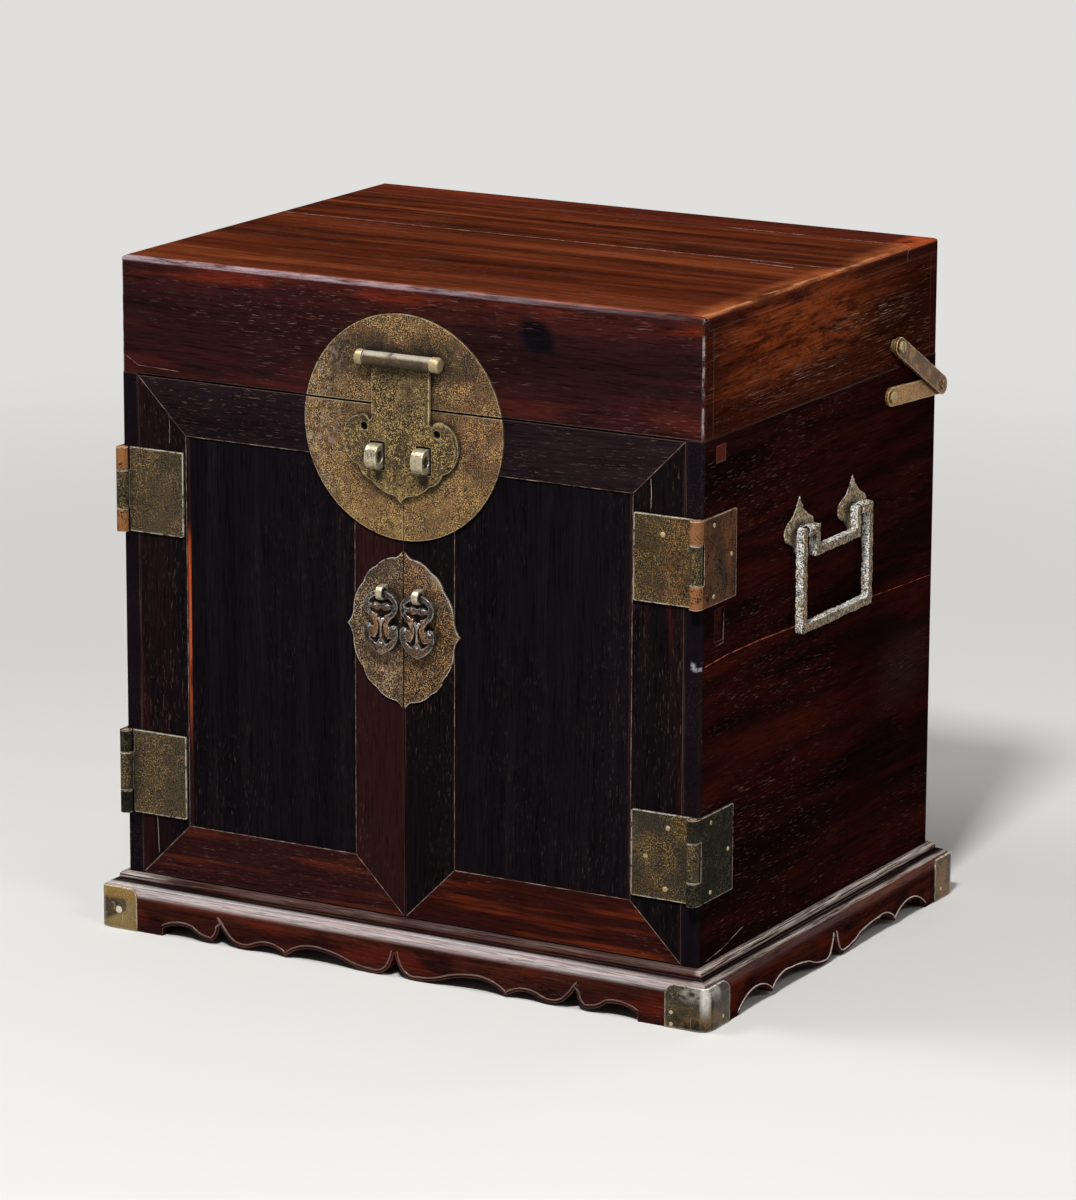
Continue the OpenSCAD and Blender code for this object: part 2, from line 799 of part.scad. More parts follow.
module hasp() {
    slot_gap = 0.9;
    eye_d = 4.2;
    slot_w = staple_w + 2 * slot_gap;
    slot_h = 2 * staple_half_h + 2 * slot_gap;
    color("#8a7434") difference() {
        union() {
            along_y(hasp_y - hasp_t, hasp_y) difference() {
                union() both_sides() polygon(hasp_half());
                both_sides() {
                    translate([staple_x - slot_w / 2, staple_z - slot_h / 2]) square([slot_w, slot_h]);
                    translate([0.64 * hasp_w / 2, staple_z + 0.73 * hasp_rise]) circle(d = eye_d, $fn = 24);
                }
            }
            hasp_knuckle(knuckle_d);
        }
        rod_x(bar_d + 2 * pin_fit, -bar_len, bar_len, bar_y, bar_z);
    }
}

staple_half_h = 6.4;

module lock_staple(side) {
    nose_y = bore_y - lock_bore_d / 2 - 1.2;
    color("#a08a4c") on_side(side) {
        difference() {
            along_x(staple_x - staple_w / 2, staple_x + staple_w / 2) translate([0, staple_z])
                polygon(outline([
                    [plate_y, -staple_half_h, 0], [plate_y, staple_half_h, 0],
                    [bore_y + 0.6, staple_half_h, 0.36], [nose_y, 2, 0], [nose_y, -2, 0.36],
                    [bore_y + 0.6, -staple_half_h, 0]
                ]));
            rod_x(lock_bore_d, 0, 2 * staple_x + staple_w, bore_y, staple_z);
        }
        rod_y(shank_d, plate_y, door_back_y, staple_x, staple_z);
    }
}

// Pull plates, their staples and pendants

function pull_half() = let (h = pull_h / 2, w = pull_w / 2) outline([
    [door_x0, -h, -0.15], [4.5, 4.2 - h, 0.22], [w - 17, 9.8 - h, 0.24], [w - 9.5, 18.8 - h, 0.2],
    [w - 3.4, -6.8, -0.15], [w, 0, -0.15], [w - 3.4, 6.8, 0.2], [w - 9.5, h - 18.8, 0.24],
    [w - 17, h - 9.8, 0.22], [4.5, h - 4.2, -0.15], [door_x0, h, 0]
]);

pull_strap_t = 1.5;
ring_z = pull_z + 19.2;
ring_y = plate_y - pull_ring_d / 2 - pull_strap_t;

module pull_plate(side) {
    color("#7c6438") on_side(side) difference() {
        along_y(plate_y, front_y) translate([0, pull_z]) polygon(pull_half());
        rod_y(2.2, plate_y - over, front_y + over, ring_x, ring_z);
    }
}

module pull_staple(side) {
    strap_w = 3.6;
    outer_r = pull_ring_d / 2 + pull_strap_t;
    color("#a08a4c") on_side(side) {
        difference() {
            union() {
                rod_x(2 * outer_r, ring_x - strap_w / 2, ring_x + strap_w / 2, ring_y, ring_z);
                block(ring_x - strap_w / 2, ring_x + strap_w / 2, ring_y, plate_y,
                    ring_z - outer_r, ring_z + outer_r);
            }
            rod_x(pull_ring_d, 0, 2 * ring_x, ring_y, ring_z);
        }
        rod_y(2, plate_y, front_y + door_t - 2, ring_x, ring_z);
    }
}

// Openwork drop that hangs from the pull staple; its middle is at x = 0 and its pivot at z = 0
pendant_t = 2.2;
pendant_half_w = ring_x - door_x0 - 0.2;
pendant_tip = 32.4;
pendant_ring_h = 8;
pendant_band = 2.9;
pendant_eye_drop = pendant_ring_h - pendant_band / 2;
pendant_ear_r = 2.6;
pendant_ear_z = pendant_tip - 13.6;

function oval(w, h, y) = [for (a = [0:15:345]) [w * cos(a), y + h * sin(a)]];

module pendant_outline() {
    w = pendant_half_w;
    foot = -pendant_tip;
    eye = -pendant_eye_drop;
    waist = 2 * eye - 3;
    difference() {
        polygon(oval(w, pendant_ring_h, eye));
        polygon(oval(w - pendant_band, pendant_ring_h - pendant_band, eye));
        translate([-2.2, waist]) square([4.4, 5]);
    }
    both_sides_flat() {
        polygon([for (p = oval(2.9, 2, eye - 0.4)) [p[0] + 2.6, p[1]]]);
        polygon([[5, eye - 1.6], [w - 1.6, eye - 1], [w - 1.6, eye + 0.8], [5, eye + 0.6]]);
        polygon(outline([
            [4.2, 2 * eye + 0.6, -0.1], [1.3, waist, 0.2], [3.9, foot + 8.6, 0],
            [7.2, foot + 9.6, 0.1], [4, waist - 0.6, -0.1], [7.4, 2 * eye + 2, 0]
        ], 4));
        polygon(outline([
            [0, foot, -0.05], [3.4, foot + 1.8, 0.2], [w, foot + 9.6, 0.2], [w - 0.8, foot + 14.4, 0],
            [w - 3.6, foot + 14, -0.3], [w - 2.7, foot + 9.9, -0.15], [0, foot + 4.6, 0]
        ], 4));
        translate([w - pendant_ear_r, -pendant_ear_z]) circle(r = pendant_ear_r);
    }
    polygon([[-2.8, foot + 3.6], [2.8, foot + 3.6], [2.2, foot + 6.8], [0, foot + 10], [-2.2, foot + 6.8]]);
}

module both_sides_flat() {
    children();
    mirror([1, 0, 0]) children();
}

module pendant(side) {
    ear_x = pendant_half_w - pendant_ear_r;
    boss_y = ring_y - 0.5;
    color("#6f4a24") translate([side * ring_x, 0, ring_z]) {
        along_y(ring_y - pendant_t / 2, ring_y + pendant_t / 2) pendant_outline();
        both_sides() {
            translate([ear_x, boss_y, -pendant_ear_z]) sphere(r = 1.8, $fn = 20);
            translate([3.1, boss_y, -pendant_eye_drop - 0.4]) sphere(r = 1.6, $fn = 20);
        }
        translate([0, boss_y, 5.4 - pendant_tip]) sphere(r = 1.8, $fn = 20);
    }
}

// Doors, drawn for the right-hand side

module door_cutters() {
    rod_y(shank_d + 2 * pin_fit, front_y - over, door_back_y + over, staple_x, staple_z);
    rod_y(2.2, front_y - over, front_y + door_t - 2 + fit, ring_x, ring_z);
    block(door_x0 + frame_w - groove_d, door_x1 - frame_w + groove_d, groove_y - fit,
        groove_y + tongue_t + fit, door_z0 + frame_w - groove_d, door_z1 - frame_w + groove_d);
}

// Member outlines in x and z, mitred at both ends
module stile_outlines() {
    f = frame_w;
    polygon([[door_x0, door_z0], [door_x0 + f, door_z0 + f], [door_x0 + f, door_z1 - f], [door_x0, door_z1]]);
    polygon([[door_x1, door_z0], [door_x1, door_z1], [door_x1 - f, door_z1 - f], [door_x1 - f, door_z0 + f]]);
}

module rail_outlines() {
    f = frame_w;
    polygon([[door_x0, door_z0], [door_x1, door_z0], [door_x1 - f, door_z0 + f], [door_x0 + f, door_z0 + f]]);
    polygon([[door_x0, door_z1], [door_x0 + f, door_z1 - f], [door_x1 - f, door_z1 - f], [door_x1, door_z1]]);
}

// Wedge off the meeting edge, so that it clears the other door as it swings
module meeting_bevel() {
    translate([0, 0, door_z0 - over]) linear_extrude(door_z1 - door_z0 + 2 * over)
        polygon([[door_x0, front_y], [door_x0 + door_bevel, door_back_y + over],
            [door_x0 - over, door_back_y + over], [door_x0 - over, front_y]]);
}

module door_stiles(side) {
    color("#43190f") on_side(side) difference() {
        along_y(front_y, door_back_y) stile_outlines();
        door_cutters();
        meeting_bevel();
    }
}

module door_rails(side) {
    color("#571f12") on_side(side) difference() {
        along_y(front_y, door_back_y) rail_outlines();
        door_cutters();
        meeting_bevel();
    }
}

module door_panel(side) {
    x0 = door_x0 + frame_w;
    x1 = door_x1 - frame_w;
    z0 = door_z0 + frame_w;
    z1 = door_z1 - frame_w;
    reach = groove_d - 3 * fit;
    color("#1d1110") on_side(side) {
        block(x0 + fit, x1 - fit, front_y + panel_back, front_y + panel_back + panel_t, z0 + fit, z1 - fit);
        block(x0 - reach, x1 + reach, groove_y, groove_y + tongue_t, z0 - reach, z1 + reach);
    }
}

// Handles, drawn for the right-hand side

// Pointed leaf with a lobe on either side
function leaf_plate() = let (h = leaf_plate_h, w = leaf_plate_w / 2) outline([
    [0, h * 0.56, -0.06], [-5.6, h * 0.3, -0.1], [-w + 4, h * 0.17, 0.3], [-w, 0, 0.35],
    [-w + 4, -h * 0.18, -0.2], [-6.5, -h * 0.3, 0.35], [0, -h * 0.44, 0.35],
    [6.5, -h * 0.3, -0.2], [w - 4, -h * 0.18, 0.35], [w, 0, 0.3],
    [w - 4, h * 0.17, -0.1], [5.6, h * 0.3, -0.06]
], 4);

leaf_plate_t = 1;

module handle_plates() {
    color("#9b9378") both_sides() for (y = post_ys) difference() {
        along_x(side_x, side_x + leaf_plate_t) translate([y, pivot_z]) polygon(leaf_plate());
        rod_x(4 + 2 * pin_fit, side_x - over, side_x + 2 * over, y, pivot_z);
    }
}

module handle_posts() {
    eye_d = bail_pin_d + 2 * pin_fit + 3.2;
    color("#a49c82") both_sides() for (y = post_ys) {
        difference() {
            union() {
                rod_y(eye_d, y - post_t / 2, y + post_t / 2, pivot_x, pivot_z);
                rod_x(4, side_x, pivot_x, y, pivot_z);
            }
            rod_y(bail_pin_d + 2 * pin_fit, -body_d, body_d, pivot_x, pivot_z);
        }
        rod_x(4, inner_x - over, side_x, y, pivot_z);
        rod_x(8, inner_x - over, inner_x, y, pivot_z);
    }
}

module bail(side) {
    leg_y = post_y + post_t / 2 + run + bail_s / 2;
    riser_y = post_y - post_t / 2 - run - bail_s / 2;
    half = bail_s / 2;
    color("#aaa48c") on_side(side) {
        along_x(pivot_x - half, pivot_x + half) translate([handle_back, pivot_z]) {
            both_sides_flat() {
                polygon(outline([
                    [leg_y - half, half, 0], [leg_y - half, -bail_drop + half, 0], [0, -bail_drop + half, 0],
                    [0, -bail_drop - half, 0], [leg_y + half - 1.5, -bail_drop - half, quarter],
                    [leg_y + half, -bail_drop - half + 1.5, 0], [leg_y + half, half - 1.5, quarter],
                    [leg_y + half - 1.5, half, 0]
                ], 3));
                polygon(outline([
                    [riser_y - half, half, 0], [riser_y - half, -cross_drop + half, 0], [0, -cross_drop + half, 0],
                    [0, -cross_drop - half, 0], [riser_y + half, -cross_drop - half, 0], [riser_y + half, half, 0]
                ], 3));
            }
        }
        for (y = post_ys)
            rod_y(bail_pin_d, y - post_t / 2 - run - over, y + post_t / 2 + run + over, pivot_x, pivot_z);
    }
}

// Lid stay, on the right-hand side

module link_outline(p, q) {
    step = q - p;
    angle = atan2(step[1], step[0]);
    translate(p) rotate(angle) polygon(outline([
        [0, -link_w / 2, 0], [norm(step), -link_w / 2, 1], [norm(step), link_w / 2, 0], [0, link_w / 2, 1]
    ], 8));
}

module stay_lower_link() {
    color("#b08048") difference() {
        along_x(lower_link_x, lower_link_x + link_t) link_outline(stay_case, stay_knee);
        rod_x(shank_d + 2 * pin_fit, side_x, side_x + 2 * post_out, stay_case[0], stay_case[1]);
    }
}

module stay_upper_link() {
    color("#b08048") {
        difference() {
            along_x(upper_link_x, upper_link_x + link_t) link_outline(stay_lid, stay_knee);
            rod_x(shank_d + 2 * pin_fit, side_x, side_x + 2 * post_out, stay_lid[0], stay_lid[1]);
        }
        rod_x(5, upper_link_x + link_t, upper_link_x + link_t + 0.8, stay_knee[0], stay_knee[1]);
    }
}

// Pivot with a shank in the wood, a washer under the link and a head over it
module stay_pivot(at, link_x, shank_x) {
    rod_x(shank_d, shank_x, link_x + link_t + run, at[0], at[1]);
    rod_x(6, link_x + link_t + run, link_x + link_t + run + 1.1, at[0], at[1]);
}

module stay_case_pin() {
    color("#b9924e") stay_pivot(stay_case, lower_link_x, inner_x);
}

module stay_lid_screw() {
    color("#b9924e") {
        stay_pivot(stay_lid, upper_link_x, inner_x + 2 * over);
        rod_x(7, side_x, upper_link_x - run, stay_lid[0], stay_lid[1]);
    }
}

// Drawers, drawn for the right-hand side

module drawer(side, row) {
    z0 = drawer_rows()[row][0] + run;
    z1 = drawer_rows()[row][1] - 2 * drawer_gap;
    back = drawer_y + drawer_front_t;
    color("#8b5a35") on_side(side) {
        difference() {
            block(drawer_x0, drawer_x1, drawer_y, back, z0, z1);
            rod_y(3 + 2 * pin_fit, drawer_y - over, back + over, (drawer_x0 + drawer_x1) / 2, (z0 + z1) / 2);
        }
        block(drawer_x0, drawer_x0 + drawer_side_t, back, drawer_y1, z0, z1);
        block(drawer_x1 - drawer_side_t, drawer_x1, back, drawer_y1, z0, z1);
        block(drawer_x0 + drawer_side_t, drawer_x1 - drawer_side_t, drawer_y1 - drawer_side_t, drawer_y1, z0, z1);
        block(drawer_x0 + drawer_side_t, drawer_x1 - drawer_side_t, back, drawer_y1 - drawer_side_t,
            z0, z0 + drawer_bottom_t);
    }
}

module drawer_knob(side, row) {
    z0 = drawer_rows()[row][0] + run;
    z1 = drawer_rows()[row][1] - 2 * drawer_gap;
    r = knob_d / 2;
    color("#8d7438") on_side(side)
        translate([(drawer_x0 + drawer_x1) / 2, drawer_y, (z0 + z1) / 2]) rotate([90, 0, 0]) rotate_extrude()
            polygon(outline([
                [0, -drawer_front_t, 0], [1.5, -drawer_front_t, 0], [1.5, 0, 0], [r + 1.5, 0, 0],
                [r + 1.5, 0.8, 0], [r * 0.45, 1.2, -0.3], [r, 4, 0.4], [r * 0.4, 7, 0], [0, 7.3, 0]
            ], 4));
}

base_front();
base_back();
base_ends();
base_corner_mounts();
carcase_floor();
side_left();
side_right();
back_panel();
front_rail();
tray_floor();
drawer_shelf();
drawer_dividers();
drawer_guides();
door_hinge_side_leaves();
hinge_pins();
lid_hinge_case_leaves();
handle_plates();
handle_posts();
stay_case_pin();
lid_top_boards();
lid_top_strip();
lid_front();
lid_back();
lid_ends();
lid_hinge_lid_leaves();
lock_plate_upper();
hasp_bar();
stay_lid_screw();
hasp();
door_stiles(-1);  // left_door_stiles
door_rails(-1);  // left_door_rails
door_panel(-1);  // left_door_panel
lock_plate_half(-1);  // left_lock_plate
pull_plate(-1);  // left_pull_plate
lock_staple(-1);  // left_lock_staple
pull_staple(-1);  // left_pull_staple
door_leaves(-1);  // left_door_leaves
pendant(-1);  // left_pendant
door_stiles(1);  // right_door_stiles
door_rails(1);  // right_door_rails
door_panel(1);  // right_door_panel
lock_plate_half(1);  // right_lock_plate
pull_plate(1);  // right_pull_plate
lock_staple(1);  // right_lock_staple
pull_staple(1);  // right_pull_staple
door_leaves(1);  // right_door_leaves
pendant(1);  // right_pendant
bail(-1);  // bail_left
bail(1);  // bail_right
stay_lower_link();
stay_upper_link();
drawer(-1, 1);  // upper_left_drawer
drawer(1, 1);  // upper_right_drawer
drawer(-1, 0);  // lower_left_drawer
drawer(1, 0);  // lower_right_drawer
drawer_knob(-1, 1);  // upper_left_knob
drawer_knob(1, 1);  // upper_right_knob
drawer_knob(-1, 0);  // lower_left_knob
drawer_knob(1, 0);  // lower_right_knob
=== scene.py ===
"""Looks of the small tabletop chest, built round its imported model.

Lengths are in millimetres unless a comment says otherwise, and scales of noise are per metre.
"""

from math import atan, atan2, cos, pi, radians, sin

import bmesh
import bpy
from mathutils import Matrix, Vector, noise


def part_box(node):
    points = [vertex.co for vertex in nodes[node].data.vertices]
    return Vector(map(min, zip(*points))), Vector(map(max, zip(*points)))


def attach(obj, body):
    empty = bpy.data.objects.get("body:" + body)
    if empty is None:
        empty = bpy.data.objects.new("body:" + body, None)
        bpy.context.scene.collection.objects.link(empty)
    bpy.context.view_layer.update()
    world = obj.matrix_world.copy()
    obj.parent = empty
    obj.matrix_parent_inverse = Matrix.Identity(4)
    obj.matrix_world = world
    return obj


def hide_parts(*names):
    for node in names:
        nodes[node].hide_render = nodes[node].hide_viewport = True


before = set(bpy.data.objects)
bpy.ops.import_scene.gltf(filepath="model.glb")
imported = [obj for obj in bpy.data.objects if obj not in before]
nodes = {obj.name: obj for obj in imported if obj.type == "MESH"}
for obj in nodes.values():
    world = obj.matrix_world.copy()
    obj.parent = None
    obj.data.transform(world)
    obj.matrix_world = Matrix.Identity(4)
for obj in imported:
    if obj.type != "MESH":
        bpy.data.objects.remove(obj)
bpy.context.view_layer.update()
MM = 0.001
SIDES = ("left", "right")
ROWS = ("upper", "lower")


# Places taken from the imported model

def span(node, axis):
    """Lowest and highest place of a CAD node along an axis."""
    low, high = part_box(node)
    return low[axis] / MM, high[axis] / MM


LEFT_X, SIDE_X = span("lid_front", 0)
FRONT_Y, BACK_Y = span("side_right", 1)
TOP_Z = span("lid_top_boards", 2)[1]
PLINTH_X = span("base_ends", 0)[1]
PLINTH_Y = span("base_front", 1)[0]
LEAF_X = span("door_hinge_side_leaves", 0)[1]
HINGE_Y = sum(span("right_door_leaves", 1)) / 2
HINGE_ZS = (236, 84.6)
LOCK_BORE_Y = span("left_lock_staple", 1)[0] + 4.4
FRAME_W = 29


def placed(name, data):
    """A new object in the scene."""
    item = bpy.data.objects.new(name, data)
    bpy.context.scene.collection.objects.link(item)
    return item


def seen(red, green, blue):
    """A colour as it is seen on a screen, 0 to 255, in the linear values that nodes take."""
    def linear(value):
        share = value / 255
        return share / 12.92 if share <= 0.04045 else ((share + 0.055) / 1.055) ** 2.4
    return linear(red), linear(green), linear(blue), 1.0


class Shader:
    """One material's node tree, with a short call for each kind of node that the finishes use.

    Colours are given as they are seen on a screen, as three numbers from 0 to 255.
    """

    def __init__(self, name):
        self.material = bpy.data.materials.new(name)
        self.material.use_nodes = True
        self.tree = self.material.node_tree
        self.tree.nodes.clear()
        self.bsdf = self.node("BsdfPrincipled")
        self.output = self.node("OutputMaterial", {0: self.bsdf.outputs[0]})
        coords = self.node("TexCoord")
        self.place = coords.outputs["Object"]
        self.facing = coords.outputs["Normal"]
        self.x, self.y, self.z = self.split(self.place)

    def node(self, kind, inputs=None, **settings):
        """A new node; inputs gives a link or a value for its sockets, by name or number."""
        step = self.tree.nodes.new("ShaderNode" + kind)
        for name, value in settings.items():
            setattr(step, name, value)
        for socket, source in (inputs or {}).items():
            self.link(source, step.inputs[socket])
        return step

    def link(self, source, target):
        if hasattr(source, "node"):
            self.tree.links.new(source, target)
        elif target.type == "RGBA":
            target.default_value = seen(*source)
        else:
            target.default_value = source

    def split(self, vector):
        return self.node("SeparateXYZ", {0: vector}).outputs[:3]

    def math(self, operation, first, second=0.0):
        return self.node("Math", {0: first, 1: second}, operation=operation).outputs[0]

    def joined(self, operation, values):
        result = values[0]
        for value in values[1:]:
            result = self.math(operation, result, value)
        return result

    def times(self, *values):
        return self.joined("MULTIPLY", values)

    def plus(self, *values):
        return self.joined("ADD", values)

    def most(self, *values):
        return self.joined("MAXIMUM", values)

    def less(self, value):
        return self.math("SUBTRACT", 1.0, value)

    def out(self):
        """Distance from the middle of the chest to either side."""
        return self.math("ABSOLUTE", self.x)

    def ramp_up(self, value, low, high):
        """0 below low and 1 above high, and the other way round where high is the lower one."""
        return self.node("MapRange", {"Value": value, "From Min": low, "From Max": high},
                         interpolation_type="SMOOTHSTEP").outputs[0]

    def beyond(self, value, low, high):
        return self.ramp_up(value, low * MM, high * MM)

    def between(self, value, low, high, soft):
        """1 from low to high, with soft edges, and 0 outside."""
        return self.times(self.beyond(value, low - soft, low + soft), self.beyond(value, high + soft, high - soft))

    def far(self, centre, place=None):
        """Distance from a place."""
        return self.node("VectorMath", {0: place or self.place, 1: [value * MM for value in centre]},
                         operation="DISTANCE").outputs["Value"]

    def spot(self, centre, radius):
        return self.beyond(self.far(centre), radius * 1.15, radius * 0.85)

    def blend(self, below, above, share):
        return self.node("Mix", {0: share, 6: below, 7: above}, data_type="RGBA").outputs[2]

    def stretched(self, scales, seed, place=None):
        """Coordinates times scales, one for all axes or one each, moved by a seed."""
        scales = scales if isinstance(scales, tuple) else (scales,) * 3
        moved = (seed * 3.7, seed * 1.9 + 5, seed * 2.3 + 9)
        return self.node("Mapping", {0: place or self.place, "Location": moved, "Scale": scales}).outputs[0]

    def noise(self, scales, seed, detail=2.0, rough=0.55, place=None):
        inputs = {"Vector": self.stretched(scales, seed, place), "Scale": 1.0, "Detail": detail, "Roughness": rough}
        return self.node("TexNoise", inputs).outputs[0]

    def cloud(self, scales, seed, low, high, detail=4.0, rough=0.55):
        """Patches of noise: 0 where it is under low and 1 where it is over high."""
        return self.ramp_up(self.noise(scales, seed, detail, rough), low, high)

    def ramp(self, value, stops):
        step = self.node("ValToRGB", {0: value})
        points = step.color_ramp.elements
        while len(points) < len(stops):
            points.new(0.5)
        for point, (position, colour) in zip(points, stops):
            point.position = position
            point.color = seen(*colour)
        return step.outputs[0]

    def wavy(self, amount, scales, seed):
        """Coordinates pushed about by a slow noise, for grain that wanders."""
        push = self.node("TexNoise", {"Vector": self.stretched(scales, seed), "Scale": 1.0, "Detail": 2.0})
        return self.node("VectorMath", {0: push.outputs[1], 1: (amount * MM,) * 3, 2: self.place},
                         operation="MULTIPLY_ADD").outputs[0]

    def rounded(self, radius, bump=None):
        """Normal with the edges rounded off, on top of a bump."""
        step = self.node("Bevel", {"Radius": radius * MM}, samples=4)
        if bump is not None:
            self.link(bump, step.inputs["Normal"])
        return step.outputs[0]

    def edges(self, radius):
        """1 along the piece's edges and 0 on its flats."""
        flat = self.node("NewGeometry").outputs["Normal"]
        turn = self.node("VectorMath", {0: self.rounded(radius), 1: flat}, operation="DOT_PRODUCT")
        return self.ramp_up(turn.outputs["Value"], 0.995, 0.86)

    def crevice(self, reach):
        """1 deep in corners and under other pieces, up to a reach, and 0 in the open."""
        step = self.node("AmbientOcclusion", {"Distance": reach * MM}, samples=6)
        return self.ramp_up(step.outputs["AO"], 0.92, 0.35)

    def bump(self, height, depth, strength=1.0):
        return self.node("Bump", {"Strength": strength, "Distance": depth * MM, "Height": height}).outputs[0]

    def tinted(self, colour, zones):
        """Lays zones over a colour, each a mask, a tint and an amount; a tint can be a colour of its own making."""
        for mask, tint, amount in zones:
            over = tint(self) if callable(tint) else tint
            colour = self.blend(colour, over, self.times(mask(self), amount))
        return colour

    def finish(self, colour, rough, normal, **settings):
        for name, value in dict(settings, Base_Color=colour, Roughness=rough, Normal=normal).items():
            self.link(value, self.bsdf.inputs[name.replace("_", " ")])
        return self.material


# Masks: functions of a Shader, 1 inside and 0 outside

def area(x=None, y=None, z=None, out=None, cloud=None, also=None):
    """Mask with soft limits. A pair of limits runs from 0 to 1; low, high and softness give a band.

    cloud holds the arguments of Shader.cloud, and also is another mask that it is multiplied with.
    """
    def mask(s):
        parts = [cloud and s.cloud(*cloud), also and also(s)]
        for value, limits in ((s.x, x), (s.y, y), (s.z, z), (out and s.out(), out)):
            if limits:
                parts.append(s.between(value, *limits) if len(limits) == 3 else s.beyond(value, *limits))
        return s.times(*[part for part in parts if part is not None])
    return mask


def any_of(*masks):
    return lambda s: s.most(*[mask(s) for mask in masks])


# Wood

X_GRAIN, Y_GRAIN, Z_GRAIN = 0, 1, 2
DUST = (172, 160, 152)
PORE = (126, 98, 90)
RUBBED = (128, 98, 86)
END_TONES = ((32, 12, 8), (60, 24, 15), (104, 48, 26))


def along(grain, run, cross):
    """Scales for a texture that is long along the grain and fine across it."""
    return tuple(run if axis == grain else cross for axis in range(3))


def figured(s, grain, tones, seed, figure=38.0, streaks=0.5):
    """Colour of figured wood, and the wandering coordinates that its pores follow."""
    deep, middle, bright = tones
    place = s.wavy(12, along(grain, 5, 16), seed)
    bands = s.noise(along(grain, 2.6, figure), seed, 6.0, 0.72, place)
    colour = s.ramp(bands, [(0.30, deep), (0.50, middle), (0.72, bright)])
    dark = s.ramp_up(s.noise(along(grain, 1.8, 62), seed + 4, 5.0, 0.72, place), 0.53, 0.64)
    return s.blend(colour, deep, s.times(dark, streaks)), place


def wood(name, grain, tones, seed, flecks=0.5, polish=0.25, zones=(), worn=0.5, rough=0.42,
         streaks=0.5, figure=38.0, polished=None, pore_run=170, wears=None, flush=None, gloss=0.25):
    """Close-grained hardwood with open pores. tones are its deep, middle and bright colour."""
    s = Shader(name + "_wood")
    colour, place = figured(s, grain, tones, seed, figure, streaks)
    patch = s.noise(along(grain, 9, 22), seed + 7, 3.0)
    colour = s.tinted(colour, zones)
    fibre = s.noise(along(grain, 45, 1500), seed + 2, 2.0, 0.7, place)
    colour = s.blend(colour, (0, 0, 0), s.times(s.ramp_up(fibre, 0.52, 0.34), 0.5))
    pores = s.noise(along(grain, pore_run, 2600), seed + 3, 1.0, 0.5, place)
    pits = s.times(s.ramp_up(pores, 0.665, 0.71), s.ramp_up(patch, 0.36, 0.66))
    colour = s.blend(colour, PORE, s.times(pits, flecks))
    edge = s.edges(0.8)
    rub = s.times(edge, s.ramp_up(patch, 0.30, 0.62), worn)
    relief = s.plus(s.times(fibre, 0.35), s.times(s.ramp_up(pores, 0.62, 0.70), -1.0))
    grain_bump = s.bump(relief, 0.05, 0.55)
    normal = s.rounded(0.5, grain_bump)
    if wears is not None:
        rub = s.times(rub, wears(s))
    if flush is not None:
        level = flush(s)
        rub = s.times(rub, s.less(level))
        normal = s.blend(normal, grain_bump, level)
    colour = s.blend(colour, RUBBED, rub)
    sheen = s.plus(s.times(patch, 0.22), rough - 0.11)
    shine = edge if polished is None else s.most(edge, polished(s))
    s.link(s.times(shine, polish), s.bsdf.inputs["Coat Weight"])
    return s.finish(colour, sheen, normal, Specular_IOR_Level=0.0, Coat_Roughness=gloss)


def dress(material, *names):
    """Gives CAD nodes their finish."""
    for name in names:
        slots = nodes[name].data.materials
        slots.clear()
        slots.append(material)


def lid_end_colour(s):
    """One colour for all the pieces that show in the lid's ends, which look like a single burl board."""
    warm = area(y=(-92, 34, 30), z=(318, 356, 8), cloud=((60, 34, 220), 22, 0.34, 0.60, 5.0, 0.7))
    swirl = area(y=(-80, 60, 30), z=(312, 350, 10), cloud=((90, 110, 260), 36, 0.52, 0.62, 6.0, 0.75))
    border = any_of(area(y=(-108, -127)), area(z=(314, 300)), area(y=(62, 108)))
    grey = area(y=(10, 96, 24), z=(324, 336, 5), cloud=((60, 50, 1300), 11, 0.55, 0.64, 5.0, 0.75))
    low_grey = area(y=(-70, 30, 26), z=(303, 318, 6), cloud=((60, 50, 1300), 21, 0.56, 0.65, 5.0, 0.75))
    scratches = area(z=(300, 352, 8), cloud=((200, 42, 1500), 53, 0.56, 0.66, 4.0, 0.75),
                     also=area(cloud=((30, 26, 60), 52, 0.40, 0.58, 3.0)))
    checks = area(cloud=((240, 70, 1100), 51, 0.58, 0.66, 4.0, 0.75))
    colour, _ = figured(s, Y_GRAIN, END_TONES, 6, 90.0, 0.6)
    return s.tinted(colour, [
        (warm, (146, 68, 34), 0.66), (swirl, (36, 13, 9), 0.55), (border, (44, 15, 12), 0.7),
        (checks, (26, 9, 6), 0.55), (scratches, (180, 124, 90), 0.4), (grey, (172, 142, 120), 0.68),
        (low_grey, (158, 132, 118), 0.66)])


